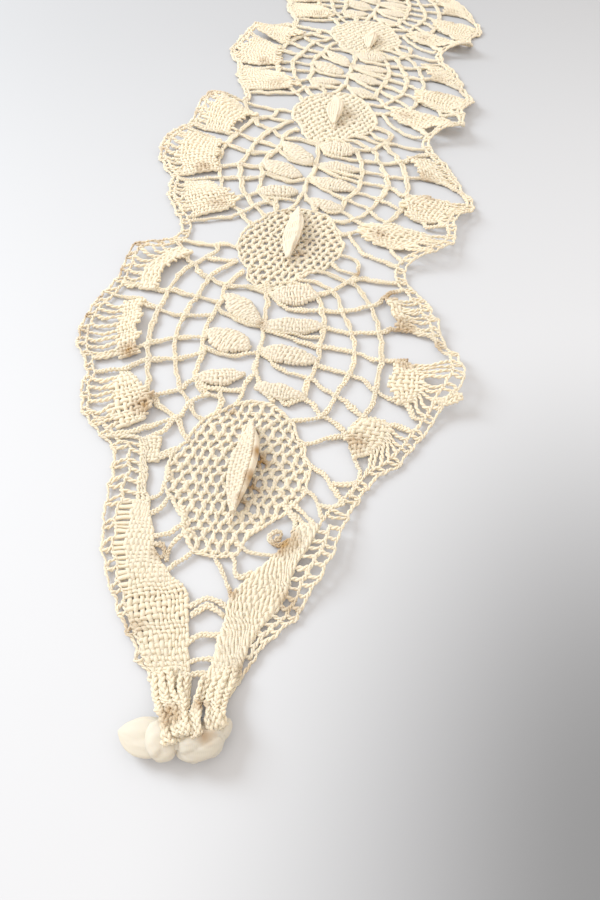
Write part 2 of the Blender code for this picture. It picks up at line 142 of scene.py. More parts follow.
KNOT_RINGS = 12           # a small knot's sections, its turns, radius, height and thread, mm
KNOT_TURNS = 1.4
KNOT_RADIUS = 0.62
KNOT_DRAW = 0.5           # the share by which its radius is drawn in
KNOT_HEIGHT = 0.42
KNOT_THREAD = 0.34
GOLDEN_ANGLE = 2.4        # spreads the threads of a hank evenly, radians
HANK_TWIST = 0.16         # turn of a hank's threads for each mm, radians
HANK_SWAY = 0.12          # how far that turn wanders, radians

# ---------------------------------------------------------------- wheels
# Spokes of a wheel, from its middle outward. Columns: name, points inside the inner ring, where
# it crosses the inner, the middle and the outer ring, points beyond; each point (across, along)
LEFT_SPOKES = (
    ("near arc", ((-5.8, -25.2), (-6.2, -21.4)),
     (-9.2, -20.4), (-13.0, -23.6), (-15.6, -28.4),
     ((-19.2, -30.6), (-24.4, -33.0), (-30.4, -35.2))),
    ("near slant", ((-10.6, -14.4),),
     (-12.9, -15.4), (-16.5, -18.6), (-22.2, -22.3), ((-24.6, -25.2),)),
    ("near pair a", (),
     (-13.4, -6.3), (-20.0, -9.0), (-26.2, -10.2),
     ((-29.6, -11.6), (-33.2, -14.0), (-38.0, -14.8))),
    ("near pair b", (),
     (-14.4, -0.6), (-21.6, -1.3), (-27.8, -4.2), ((-31.6, -6.6), (-35.4, -9.2), (-39.8, -10.4))),
    ("middle", (),
     (-13.9, 8.7), (-20.9, 7.5), (-29.0, 9.5), ((-31.6, 10.4), (-35.2, 12.6), (-40.0, 12.8))),
    ("far pair", (),
     (-12.3, 14.0), (-19.9, 15.4), (-28.1, 17.7), ((-31.2, 17.0), (-34.8, 18.0), (-40.0, 18.4))),
    ("far arc", ((-0.8, 20.0), (-6.4, 21.6)),
     (-12.4, 21.0), (-17.9, 24.4), (-21.6, 26.0), ((-24.8, 29.6), (-28.2, 34.0), (-32.0, 39.6))),
)
RIGHT_SPOKES = (
    ("near arc", ((7.6, -19.6), (10.0, -21.4)),
     (13.9, -19.6), (18.5, -24.2), (25.0, -29.4), ((26.6, -33.0),)),
    ("near slant", ((0.9, -4.0), (4.8, -7.3), (8.9, -10.2)),
     (14.5, -12.6), (21.8, -17.3), (28.6, -23.4), ((32.6, -25.2), (38.4, -26.6))),
    ("near middle", (),
     (16.1, -7.0), (24.2, -9.8), (31.3, -14.2), ((34.6, -17.2), (38.6, -19.6), (41.0, -23.4))),
    ("middle", ((0.6, 5.6), (6.0, 2.8), (11.4, 0.6)),
     (16.6, -0.3), (25.3, -1.3), (32.2, -4.4), ((35.6, -3.8), (39.0, -3.4))),
    ("far middle", (),
     (16.6, 7.2), (24.2, 6.3), (31.0, 7.2), ((34.6, 8.8), (39.0, 8.8), (43.4, 7.2), (46.6, 4.8))),
    ("far pair", (),
     (15.3, 14.2), (21.0, 14.8), (28.1, 17.8), ((30.8, 20.4), (33.4, 24.4))),
    ("far arc", (),
     (12.6, 20.8), (17.5, 23.3), (21.3, 28.0), ((24.8, 30.4), (29.4, 29.8), (34.4, 30.0))),
)

TIE_LEAST = 0.4           # a spoke that ends this near the edge's inner line touches it
TIE_MOST = 6.5            # and one that ends this near is led on to it, mm

# Rings of a wheel, from the inner one to the outer one. Columns: number of spokes that it crosses,
# points before the first spoke, points after the last
LEFT_RINGS = (
    (7, (), ((-11.2, 25.2), (-9.2, 28.6))),
    (7, ((-8.8, -28.4),), ((-15.0, 29.0), (-12.2, 33.4))),
    (6, ((-11.2, -35.0),), ()),
)
RIGHT_RINGS = (
    (7, (), ((9.6, 24.4),)),
    (7, ((11.2, -26.2), (14.8, -26.2)), ((14.8, 24.8), (12.0, 26.8), (7.4, 27.0))),
    (7, (), ((18.6, 29.4), (14.4, 31.2), (10.6, 31.8))),
)

# Other plaits of a wheel, each a name and its points
TRUNK_PLAITS = (
    ("trunk", ((0.5, 6.2), (1.2, 1.0), (0.4, -4.2))),
    ("trunk near", ((0.4, -4.0), (0.7, -8.6), (1.2, -12.4), (3.0, -16.0), (4.8, -19.0),
                    (6.4, -21.6))),
    ("trunk near left", ((1.0, -11.6), (-0.4, -15.6), (-0.8, -19.6), (-2.0, -23.0))),
    ("trunk far", ((0.5, 6.0), (0.8, 11.0), (0.0, 16.4), (-0.6, 20.4), (-2.0, 24.4))),
    ("under far right leaf", ((-0.2, 21.4), (2.2, 16.6), (5.0, 14.2), (10.0, 13.8), (15.3, 14.2))),
    ("over far right leaf", ((1.4, 25.0), (5.4, 25.6), (10.0, 23.8), (12.6, 20.8))),
    ("under left leaf", ((0.4, -4.2), (-4.4, -6.2), (-9.0, -5.8), (-14.0, -3.4))),
    ("under far left leaf", ((0.4, 6.0), (-4.0, 6.2), (-8.0, 8.2), (-12.6, 11.8))),
    ("between right leaves", ((0.8, 5.4), (6.0, 4.4), (11.0, 3.2), (16.6, 3.0))),
    ("under near left leaf", ((-12.4, -16.0), (-9.0, -18.0), (-5.4, -17.8), (-1.0, -17.6))),
    ("beside tip hole", ((-6.2, -21.2), (-6.8, -17.8))),
    ("left outer ring end", ((-28.1, 17.7), (-27.0, 23.4), (-24.8, 29.4))),
    ("left bay", ((-24.8, 29.6), (-21.6, 33.0), (-19.2, 36.0), (-19.4, 39.6))),
    ("left bay bar", ((-20.8, 33.4), (-16.8, 32.6), (-13.0, 33.2))),
    ("left bay top", ((-31.8, 39.4), (-26.6, 39.8), (-21.4, 39.4), (-16.4, 40.4), (-12.8, 39.4))),
    ("right oval top", ((14.4, -33.8), (17.6, -32.6), (20.4, -31.0), (25.0, -29.4))),
    ("right notch bar", ((21.4, 28.2), (23.4, 33.2), (22.6, 38.4), (17.0, 40.6))),
    ("right stained curl", ((15.6, 36.8), (19.4, 32.4), (22.8, 31.8))),
)
# Plaits of each diamond but the first, measured from the wheel after it
DIAMOND_PLAITS = (
    ("right long inner", ((18.0, -31.4), (19.8, -35.4), (22.2, -39.4), (25.6, -43.0),
                          (29.4, -45.2), (34.4, -47.2))),
    ("right long outer", ((26.6, -31.4), (29.6, -35.4), (33.4, -41.2), (36.0, -46.4))),
)
# The picot that sticks out of the first wheel's right edge
PICOT_PLAITS = (
    ("rim picot", ((45.0, -18.9), (47.6, -18.3), (50.0, -17.2), (50.6, -17.9), (48.8, -19.1),
                   (46.0, -19.3))),
)

# ---------------------------------------------------------------- nets
# Outline of each diamond net, measured from the wheel after it: (across, along)
DIAMOND_RIM = (
    (2.4, -21.4), (-4.2, -24.0), (-8.1, -27.6), (-11.2, -33.0), (-13.2, -37.6), (-13.9, -42.6),
    (-12.4, -49.0), (-8.6, -54.4), (-7.0, -59.0), (-4.4, -62.6), (-0.6, -63.6), (3.6, -62.8),
    (6.2, -58.4), (9.4, -55.0), (13.4, -52.0), (16.4, -46.6), (17.2, -39.6), (15.2, -33.4),
    (12.2, -27.6), (9.4, -23.8),
)
NET_PITCH = 2.32          # from one mesh of the net to the next, across
NET_ROW = 2.35            # from one row of meshes to the next
NET_SINK = 0.30           # how far the net lies below the plaits' middle
NET_BAR = 1.05            # length of the upright bar between two meshes
NET_ROWS = 20             # rows on either side of the net's middle, more than it needs
NET_LINES = 30            # and pairs on either side of it
NET_SAMPLES = 9           # points of a pair from one row to the next
NET_LEAST = 4             # a pair with no more points than this is left out
NET_WANDER = ((0.18, 0.9), (0.12, 2.1))       # waves along and across the net: mm, radians a mm
NET_PINCH = 0.16          # how far two pairs draw together along their bar
NET_LAP = 0.08            # how far one lies over the other

# ---------------------------------------------------------------- flat leaves
# Columns: root across, root along, tip across, tip along, width mm
WHEEL_LEAVES = (
    (-1.4, -12.6, -12.8, -15.0, 5.8),
    (-2.0, -3.0, -14.2, 2.4, 8.0),
    (-0.4, 6.6, -11.4, 17.2, 6.6),
    (2.2, -16.4, 13.8, -18.8, 5.2),
    (1.4, -3.0, 15.8, -6.0, 6.4),
    (1.2, 6.4, 16.4, 7.4, 5.6),
    (1.0, 19.0, 13.4, 20.6, 8.8),
)

# ---------------------------------------------------------------- fans
# Cloth-stitch patches of the fans, each from its near end to its far end. Columns: name, line
# along its inner side, line along its outer side, upright threads, rows, first and last pin
# along the edge, ribs, side
FANS = (
    ("left a",
     ((-22.2, -28.6), (-21.8, -25.2), (-24.8, -20.4), (-30.0, -15.2)),
     ((-27.6, -32.4), (-30.4, -26.4), (-32.2, -20.0), (-32.4, -15.4)), 6, 13, -33.0, -16.0, 8, -1),
    ("left b",
     ((-29.8, -8.0), (-31.8, 0.0), (-32.8, 5.6), (-33.8, 11.4)),
     ((-34.2, -10.4), (-36.6, -2.4), (-38.0, 4.8), (-38.8, 11.0)), 5, 17, -12.5, 12.0, 9, -1),
    ("left c",
     ((-31.8, 16.8), (-32.2, 23.4), (-30.0, 29.0), (-26.4, 33.8)),
     ((-36.2, 17.0), (-37.2, 24.2), (-35.0, 30.6), (-31.0, 35.4)), 5, 14, 17.0, 36.0, 8, -1),
    ("right a",
     ((27.2, -36.2), (25.8, -32.2), (26.4, -28.4), (28.8, -25.4)),
     ((30.8, -34.8), (32.8, -31.2), (33.8, -27.6), (32.8, -24.4)), 5, 11, -42.5, -28.5, 7, 1),
    ("right b",
     ((36.8, -19.0), (34.9, -14.6), (34.8, -10.0), (36.2, -4.8)),
     ((39.6, -18.4), (41.2, -14.8), (41.4, -8.4), (39.6, -4.8)), 5, 12, -23.5, -3.0, 9, 1),
    ("right c",
     ((36.4, 8.6), (34.6, 15.0), (32.2, 22.0)),
     ((38.8, 8.6), (37.4, 15.0), (35.4, 22.2)), 3, 10, 6.0, 23.5, 8, 1),
)
FAN_RISE = 1.3            # how far a patch's inner side stands up, mm
FAN_RAGGED = 0.22         # how far its rows stick out, as a share of its width
FAN_UNEVEN = 0.06         # how much its width changes on the way, as a share
RIB_SAG = (0.36, 1.44)    # least and most that a rib bows toward the near side, mm
RIB_JITTER = 0.15         # how far a rib lies off its even place, in ribs
# How much farther the patches of each wheel reach, outward as a share of the way to the edge
# and inward as a share of their own width
FAN_REACH = (0.0, 0.5, 0.6, 0.65)
FAN_SPREAD = (0.0, 0.35, 0.5, 0.5)

# ---------------------------------------------------------------- edges
# Outer edge of one repeat and of the tapes. Columns: along mm, across mm
LEFT_EDGE = (
    (-39.0, -33.2), (-34.0, -35.4), (-29.2, -38.0), (-24.4, -40.3), (-19.8, -41.4),
    (-14.6, -41.8), (-10.4, -44.6), (-5.0, -47.6), (1.2, -48.5), (6.8, -48.1), (12.8, -46.5),
    (18.8, -45.3), (24.4, -45.0), (29.8, -44.7), (34.2, -43.6), (37.8, -38.0), (41.2, -33.4),
)
RIGHT_EDGE = (
    (-45.6, 40.7), (-42.6, 45.6), (-38.0, 48.4), (-31.8, 49.6), (-26.6, 49.4), (-21.0, 48.6),
    (-16.2, 50.2), (-12.4, 52.3), (-6.2, 52.6), (-0.6, 51.6), (4.2, 48.9), (10.4, 47.7),
    (16.0, 45.6), (21.6, 44.0), (26.4, 41.0), (31.4, 38.2), (35.8, 37.6),
)
LEFT_TAPE_EDGE = (
    (-92.8, -5.4), (-90.6, -7.4), (-87.0, -10.2), (-82.6, -13.0), (-77.2, -16.6),
    (-70.6, -20.6), (-63.6, -23.8), (-57.4, -25.2), (-50.8, -25.8), (-44.4, -26.4),
    (-39.4, -27.6), (-35.8, -30.6), (-32.6, -34.8),
)
RIGHT_TAPE_EDGE = (
    (-92.8, 5.6), (-89.4, 7.2), (-84.6, 9.8), (-79.8, 13.8), (-74.6, 18.2), (-68.6, 21.2),
    (-62.6, 23.8), (-57.0, 25.6), (-51.6, 27.2), (-46.6, 29.2), (-42.4, 32.4), (-37.8, 37.0),
    (-32.8, 40.6), (-28.0, 43.2), (-23.2, 45.8),
)
END_EDGE = (
    (24.0, -44.6), (30.0, -41.6), (35.0, -35.8), (38.6, -27.0), (40.6, -16.0), (41.2, -4.0),
    (40.6, 8.0), (38.4, 19.6), (34.6, 29.6), (29.4, 37.4), (23.0, 42.6),
)
END_INNER = (
    (19.0, -44.0), (23.0, -37.0), (25.6, -28.0), (27.0, -16.0), (27.2, -4.0),
    (27.0, 8.0), (26.0, 19.0), (24.0, 28.0), (20.6, 36.0), (17.0, 42.4),
)
END_OVERLAP = 1.0         # how far plaits run in under the closing band, mm
PIN_STEP = 2.5            # least distance between two corners of an outer edge
CORD_INSET = 0.7          # from the outline to the middle of its cord
PIN_GAP = 5.0             # from one pin of the outer cord to the next
PIN_BULGE = 0.35          # how far the cord swings out at a pin
PIN_SHARPNESS = 4         # power that makes that swing narrow
PIN_INWARD = 0.4          # share of it that the cord lies inward between the pins
PIN_SPREAD = 0.2          # half the distance between the two outer ends of a pin's rungs
RUNG_SPREAD = 0.9         # and between their inner ends
RUNG_BEND = 0.6           # how near to the cord a rung bends, as a share of the ladder
# Width of the ladder between the cord and the line inside it. Columns: distance mm, left, right
TAPE_LADDER = (
    (8.0, 0.7, 0.8),
    (13.0, 0.7, 1.0),
    (18.0, 0.9, 2.0),
    (22.0, 1.2, 3.1),
    (26.0, 1.5, 4.0),
    (31.0, 2.2, 5.0),
    (38.0, 2.6, 5.1),
    (46.0, 2.9, 5.3),
    (50.0, 2.9, 3.6),
    (54.0, 3.0, 2.5),
    (62.0, 3.0, 2.1),
)
FINE_LADDER = (18.0, 46.5)            # stretch of the right edge with two rows of small holes
FINE_STEP = 2.2                       # from one of those holes to the next
FINE_SHIFTS = (0.2, 0.7)              # places of the inner and the outer row's bars, in holes
FINE_SAG = 0.25                       # how far those bars bow
FAR_LADDER = ((150.0, 187.0), (1.0, 0.62))      # distances mm, share of its width there
# The same in a repeat. Columns: along mm, left, right
REPEAT_LADDER = (
    (-38.0, 2.2, 2.4),
    (-28.0, 1.5, 2.2),
    (-20.0, 1.8, 2.4),
    (-14.0, 2.0, 3.3),
    (0.0, 2.5, 2.3),
    (12.0, 2.4, 2.2),
    (24.0, 2.4, 2.6),
    (36.0, 2.4, 3.0),
)

# ---------------------------------------------------------------- tapes
# The two tapes, measured from the first diamond's middle: the edge away from the ladder, each
# (across, along) from the tied end. Their other edge is the ladder's inner line
LEFT_TAPE_INNER = (
    (-1.0, -47.0), (-1.8, -43.0), (-2.4, -38.0), (-3.0, -34.0), (-3.6, -30.0), (-5.4, -26.6),
    (-9.4, -24.2), (-12.4, -20.4), (-14.0, -16.0), (-15.6, -11.0), (-17.8, -5.0), (-18.9, 0.0),
    (-19.6, 4.0), (-20.4, 8.6),
)
RIGHT_TAPE_INNER = (
    (1.2, -47.0), (2.2, -43.0), (2.8, -38.0), (3.1, -34.0), (3.4, -30.4), (4.6, -27.6),
    (7.0, -25.4), (9.5, -22.2), (12.8, -18.4), (15.4, -15.6), (16.4, -12.8),
)
LEFT_WEAVE_END = -9.0     # where the left tape's cloth gives way to open rungs
# How far the upright threads of the left tape reach. Columns: share of the length from the tied
# end, share of the width from the inner side
LEFT_UPRIGHTS = ((0.0, 1.0), (0.42, 0.98), (0.60, 0.80), (0.75, 0.7), (1.0, 0.54))
LEFT_TAPE_WEAVE = (12, 36)            # upright threads and rows of the left tape
RIGHT_TAPE_WEAVE = (10, 40)
LUMP_WEAVE = (3, 7)
END_WEAVE = (9, 66)
RIGHT_ROPES = 10          # twisted uprights of the right tape
TAPE_THREAD = 0.46        # radius of the tapes' threads
TAPE_ROPE = 0.37
TAPE_RUNG_STEP = 2.4      # from one open rung to the next
TAPE_RUNG_SAG = 0.3       # how far it bows toward the near side
END_INSET = 0.98          # from the far end's outline to the cloth of its band
# The small woven lump at the left tape's upper end: its inner and its outer side
LUMP_INNER = ((-16.0, 2.4), (-16.6, 5.6), (-17.0, 8.8))
LUMP_OUTER = ((-18.9, 2.4), (-19.6, 5.6), (-20.2, 8.6))
# Upright cords of the open rungs, as shares of the width from the inner side at the lower and
# the upper end
TAPE_CORDS = ((0.04, 0.03), (0.22, 0.16), (0.42, 0.30))

# Plaits round the first diamond and between the tapes, measured from the first diamond's middle
START_PLAITS = (
    ("fork left", ((-4.4, -19.2), (-6.2, -21.6), (-8.2, -23.2), (-10.0, -24.8))),
    ("fork right", ((-1.0, -20.4), (1.2, -23.4), (3.2, -26.6), (3.8, -30.2))),
    ("foot", ((3.0, -19.4), (4.0, -22.2), (5.6, -24.6), (7.8, -24.0))),
    ("foot top", ((4.0, -17.2), (5.4, -18.4), (8.0, -19.8), (10.4, -19.6), (14.2, -19.4))),
    ("curl", ((15.0, -16.2), (12.8, -16.9), (10.9, -16.6), (10.2, -15.3), (11.2, -14.3),
              (12.7, -14.7), (12.5, -15.8), (11.3, -15.7))),
    ("right finger one", ((12.2, -7.2), (13.6, -8.6), (16.0, -11.0), (17.4, -13.2))),
    ("right finger two", ((13.8, -6.6), (15.2, -8.0), (18.0, -11.2), (18.6, -13.0))),
    ("right curl side", ((13.8, -8.6), (15.2, -11.6), (15.2, -14.6))),
    ("right slot side", ((15.8, -2.2), (17.6, -3.6), (19.6, -6.6), (20.6, -10.4))),
    ("right corner top", ((17.4, 4.0), (20.9, 0.9), (22.9, -1.9), (24.0, -4.8), (25.4, -6.4))),
    ("right corner foot", ((19.6, -6.8), (22.6, -7.3), (25.4, -6.4))),
    ("oval side", ((25.6, 12.2), (26.2, 8.4), (27.8, 5.2), (28.1, 1.9), (26.8, -1.2),
                   (26.2, -4.6))),
    ("oval foot", ((22.6, -0.8), (25.0, -0.9), (27.4, 0.0))),
    ("left shoulder", ((-13.4, 5.4), (-16.8, 3.6), (-20.4, 4.0))),
    ("left finger one", ((-13.8, 0.6), (-13.4, -3.6), (-14.6, -6.8), (-17.4, -8.4))),
    ("left finger two", ((-11.8, -6.6), (-13.0, -9.8), (-15.6, -11.6))),
    ("left finger three", ((-8.6, -9.4), (-8.0, -13.0), (-9.8, -15.8), (-13.6, -17.0))),
    ("left finger four", ((-5.4, -14.6), (-8.2, -17.4), (-9.6, -20.4), (-9.8, -22.4))),
    ("left curl", ((-13.2, -18.4), (-11.0, -18.6), (-10.2, -20.4), (-11.6, -21.4),
                   (-12.8, -20.4))),
    ("tape rung one", ((-3.2, -31.6), (-0.4, -30.0), (3.4, -31.4))),
    ("tape rung two", ((-2.8, -33.2), (-0.2, -31.4), (2.8, -33.0))),
    ("tape rung three", ((-2.6, -38.4), (0.0, -37.2), (3.2, -37.2))),
    ("tape rung four", ((-2.0, -41.8), (0.2, -41.2), (2.8, -41.4))),
    ("tape rung five", ((-1.6, -44.6), (0.4, -44.2), (2.2, -44.4))),
    ("tape top", ((-25.6, 8.4), (-20.6, 8.8), (-17.0, 10.8), (-15.8, 14.6))),
    ("lump foot", ((-16.6, 2.8), (-14.8, 3.6), (-13.4, 5.0))),
)

# ---------------------------------------------------------------- relief leaves
# Leaf that stands over each diamond. Columns: wheel that follows it, near tip and far tip
# (across, along), reach to the left and to the right of the line between them, rise, mm
RELIEF_LEAVES = (
    (0, 2.3, -53.6, 3.0, -29.2, 3.1, 3.2, 3.0),
    (1, 3.0, -49.8, 1.0, -23.8, 2.8, 2.8, 2.7),
    (2, 2.7, -49.4, -0.5, -29.0, 3.2, 3.2, 2.8),
    (3, 5.3, -57.8, 3.4, -38.2, 3.1, 3.1, 2.8),
)
RIDGED_LEAF = 1           # the wheel whose relief leaf is folded in ridges along it
RELIEF_FOOT = 1.15        # height of the net's upper side, where a relief leaf begins
RELIEF_LIFT = (0.25, -0.05)           # from there to its upper and its lower side at the ends
RELIEF_UNDER = 0.86       # rise of its lower side beside that of its upper side
RELIEF_EDGE = 0.3         # share of the half width over which its lower side meets its rim
RELIEF_SWELL = (0.02, 0.8)            # its outline: margin at its ends, power
RELIEF_LEAN = (0.85, 1.15)            # powers that move its widest place, left and right
RELIEF_ARCH = (0.03, 0.7)             # its height from end to end: margin, power
# Its height across, from side to side in shares of the half width: height at the low side, width
# and power of the slope, then where the rim rolls over, how wide that is and the height it leaves
RELIEF_SLOPE = (0.16, 1.66, 1.7)
RELIEF_ROLL = (0.62, 0.40, 0.45)
RELIEF_RIB = 0.66         # from one cross rib of its body to the next, mm
RELIEF_SAMPLES = 5        # sections of the body for each rib
RELIEF_ACROSS = 19        # points across its upper side
RELIEF_COLUMN = 0.36      # width of one column of stitches in its body
RELIEF_FADES = (0.42, 0.12, 0.1)      # where the stitches end, and how softly on either side
RELIEF_STITCH = (0.27, 0.14)          # height of a stitch's ribs and of its columns
RIDGE_WIDTH = 0.5         # width of one ridge of the ridged leaf
RIDGE_SHAPE = (0.34, 0.05)            # height of its ridges and of the ribs on them
RELIEF_TONE = 0.8
RELIEF_PITCH = 0.82       # from one cross thread to the next on its top
RELIEF_UPRIGHTS = 5
RIDGED_WEAVE = (12, 6)    # uprights and cross threads on the ridged leaf
RELIEF_LOFT = 0.36        # height of its top threads over its body
RELIEF_THREAD = 0.50
RELIEF_WAVE = 0.16        # how far they rise and fall over the others
RELIEF_RAGGED = 0.03
RELIEF_WOVEN = (-0.97, 0.50)          # its woven part, as shares of the half width
# The pair that ties its near tip down. Columns: shift ahead and to the right of the tip, height
RELIEF_TAIL = ((-2.6, -0.8, MIDDLE + 0.2), (0.0, 0.0, RELIEF_FOOT + 0.2),
               (3.0, 0.0, RELIEF_FOOT + 0.4))
LEAF_RIB = 0.78           # from one cross thread of a flat leaf to the next
LEAF_UPRIGHTS = 4         # lengthwise threads of a flat leaf
LEAF_THREAD = 0.55
LEAF_WAVE = 0.13          # how far its threads rise and fall over the others
LEAF_RAGGED = 0.04
LEAF_SWELL = (0.03, 0.62)             # its outline: margin at its ends, power
LEAF_SAMPLES = 40
LEAF_CROWN = 0.7          # how far a flat leaf swells in its middle

# ---------------------------------------------------------------- tied end
# Hanks that gather the tapes' threads and run over the knot. Columns: points (across, distance,
# height), plaits, half width and half height, mm
NECK = (
    (((-6.4, 15.0, 0.9), (-5.6, 12.2, 1.6), (-4.5, 8.6, 2.8), (-3.2, 5.2, 4.2), (-2.4, 2.2, 3.8)),
     7, 1.7, 0.7),
    (((-2.7, 14.4, 0.9), (-2.5, 12.0, 1.6), (-2.0, 8.6, 3.0), (-1.4, 5.4, 4.8), (-0.8, 3.4, 5.2)),
     5, 1.2, 0.8),
    (((1.9, 14.0, 0.9), (1.2, 11.8, 1.6), (0.6, 8.6, 3.2), (1.2, 5.4, 4.9), (1.8, 3.6, 5.2)),
     5, 1.1, 0.8),
    (((5.8, 15.4, 0.9), (4.6, 12.2, 1.6), (3.8, 8.8, 2.8), (4.2, 6.0, 4.0), (5.0, 4.6, 3.6)),
     7, 1.6, 0.7),
)
# Folds of the knot. Columns: across, distance and height of the middle, half width, half length
# and half height, mm, turn in degrees, creases round it, depth of the creases, point of its ends
KNOT_FOLDS = (
    (-7.0, 3.8, 1.8, 5.2, 3.3, 1.5, -10.0, 3, 0.16, 1.1),
    (-4.6, 3.2, 2.4, 2.6, 3.4, 2.1, 24.0, 2, 0.20, 1.5),
    (-1.2, 4.6, 2.3, 3.0, 3.2, 2.0, -30.0, 5, 0.16, 1.6),
    (2.0, 2.9, 2.6, 3.8, 2.9, 2.5, 10.0, 4, 0.22, 1.6),
    (0.4, 2.0, 1.9, 2.4, 2.0, 1.8, -20.0, 3, 0.18, 1.6),
    (3.6, 4.2, 2.2, 2.2, 2.6, 2.0, 50.0, 3, 0.2, 1.5),
    (5.6, 5.0, 2.4, 1.2, 2.1, 1.2, -24.0, 2, 0.14, 1.3),
)
FOLD_RINGS = 44           # sections of a fold, and points of a section
FOLD_SIDES = 48
FOLD_ENDS = 0.49          # how near its first and last sections come to its ends, in half turns
FOLD_BLUNTNESS = 0.9      # power of its girth beside that of its ends
FOLD_DRIFT = 1.3          # how far its creases turn on the way, radians
FOLD_FLOOR = 0.05         # the least height of its underside, mm
# Fine wrinkles of a fold. Columns: depth as a share, waves round it, radians along it
FOLD_WRINKLES = ((0.03, 9.0, 3.0), (0.02, 17.0, -4.0))

# ---------------------------------------------------------------- stains and painted shade
STAIN_AND_SHADE_DEPTH = (2.2, 1.4, 1.1, 1.1)    # how dark the stains of each wheel are
STAIN_AND_SHADE_FADE = 0.6          # power of the way a stain fades to its rim
START_STAINS_AND_SHADE = -50.0      # stains nearer the tied end than this are only on the first repeat
# Brown stains, and painted shade along the relief leaf's right side. Columns: place, across,
# distance from the wheel, reach mm, strength
STAINS_AND_SHADE = (
    ("patch b corner", -32.4, -7.2, 3.2, 1.0),
    ("patch a inner end", -24.0, -25.6, 3.4, 0.8),
    ("left spoke node", -22.4, -22.4, 2.2, 0.5),
    ("trunk node", 0.4, 6.2, 2.4, 0.5),
    ("oval rim near", 38.6, -3.6, 4.0, 0.8),
    ("oval rim far", 37.0, 9.0, 4.6, 0.7),
    ("oval rim right", 45.6, 2.0, 3.2, 0.6),
    ("patch a right", 27.4, -32.4, 3.2, 0.7),
    ("notch node", 24.0, 33.0, 3.0, 0.7),
    ("patch c right", 33.0, 23.0, 3.4, 0.7),
    ("left edge far", -43.6, 33.6, 4.0, 0.7),
    ("left edge pin", -45.2, 23.4, 2.2, 0.7),
    ("left edge corner", -38.0, 37.6, 2.6, 0.7),
    ("left edge middle", -47.0, -2.0, 2.6, 0.5),
    ("left edge pin two", -47.6, 4.6, 1.6, 0.8),
    ("left edge pin three", -46.6, 12.0, 1.6, 0.8),
    ("left edge pin four", -44.6, 29.0, 2.0, 0.7),
    ("left edge pin five", -41.2, -22.0, 1.6, 0.6),
    # The next three rows darken the net along the relief leaf's right side: partly brown stain,
    # partly painted shade under the leaf's rolled rim.
    ("leaf side", 6.6, -39.0, 2.6, 0.9),
    ("leaf side low", 5.4, -46.0, 2.4, 0.9),
    ("leaf near tip", 3.6, -51.0, 1.8, 0.7),
    ("diamond tip", -3.0, -24.6, 2.0, 0.5),
    ("right tape top", 13.6, -60.0, 4.0, 0.8),
    ("fork yellow", 3.8, -71.6, 1.8, 0.7),
    ("left tape foot", -11.0, -63.0, 3.0, 0.6),
    ("neck left", -3.4, -95.6, 2.2, 0.9),
    ("neck fork", 1.4, -93.4, 1.8, 0.7),
    ("neck right", 3.2, -98.6, 1.8, 0.6),
    ("left tape low edge", -13.4, -79.0, 3.0, 0.5),
    ("right tape ladder", 15.4, -73.0, 3.2, 0.6),
    ("right tape foot", 7.6, -86.0, 3.0, 0.4),
)
TINY = 1e-12


# ================================================================ chart to space
def wheel_distance(wheel):
    """Distance of a wheel's middle from the tied end."""
    return FIRST_WHEEL + wheel * REPEAT


def read_table(table, at, *columns):
    """Columns of a table at places given in its first column."""
    rows = np.asarray(table)
    return [np.interp(at, rows[:, 0], rows[:, column]) for column in columns]


def walk_middle_line(first, last):
    """Distance, x and y of the middle line, a point for each charted millimetre."""
    points = [(0, START_X, START_Y)]
    for stop, step in ((last, 1), (first, -1)):
        x, y = START_X, START_Y
        for here in range(0, stop, step):
            heading, scale = read_table(BENDS, here + step / 2, 1, 2)
            x += step * scale * math.sin(math.radians(heading))
            y += step * scale * math.cos(math.radians(heading))
            points.append((here + step, x, y))
    return np.array(sorted(points))


MIDDLE_LINE = walk_middle_line(*CHART_ENDS)


def lift_at(across, distance):
    """Height of the strip's underside over the table, mm."""
    height = np.zeros_like(across)
    for wheel, along, side, rise, reach in LIFTS:
        centre = wheel_distance(wheel) + along
        away = np.hypot(distance - centre, across - side) / reach
        height += rise * np.clip(1.0 - away * away, 0.0, None) ** 2
    return height


def place(points):
    """Chart points (across, distance, height) in mm to model points in metres."""
    across, distance, height = points.T
    slant, left, right = read_table(BENDS, distance, 3, 4, 5)
    lifted = height + lift_at(across, distance)
    across = across * np.where(across < 0.0, left, right)
    distance = distance + slant * across
    heading = np.radians(read_table(BENDS, distance, 1)[0])
    x, y = read_table(MIDDLE_LINE, distance, 1, 2)
    spots = [x + across * np.cos(heading), y - across * np.sin(heading), lifted]
    return np.stack(spots, axis=1) * MM


def wobbled(points):
    """Chart points moved as the uneven lace is pulled here and there."""
    pulled = points.copy()
    for degrees, length, across, along, rise in WOBBLES:
        turn = math.radians(degrees)
        run = points[:, 0] * math.cos(turn) + points[:, 1] * math.sin(turn)
        wave = math.tau * run / length
        for column, shift in enumerate((across, along, rise)):
            pulled[:, column] += shift * np.sin(wave + (column + 1) * degrees)
    pulled[:, 2] = np.maximum(pulled[:, 2], FLOOR_GAP)
    return pulled


def thickness_at(distance):
    """How full the threads are at a distance from the tied end."""
    return read_table(THICKNESS, distance, 1)[0]


def stain_and_shade_at(points):
    """How stained, or darkened by painted shade, the thread is at chart points, nought where it is
    clean.
    """
    stain_and_shade = np.zeros(len(points))
    for wheel in range(WHEEL_COUNT):
        for _place, across, along, reach, strength in STAINS_AND_SHADE:
            if wheel and along < START_STAINS_AND_SHADE:
                continue
            ahead = points[:, 1] - wheel_distance(wheel) - along
            away = np.hypot(points[:, 0] - across, ahead) / reach
            spread = np.clip(1.0 - away, 0.0, 1.0) ** STAIN_AND_SHADE_FADE
            stain_and_shade = np.maximum(stain_and_shade, STAIN_AND_SHADE_DEPTH[wheel] * strength * spread)
    return stain_and_shade


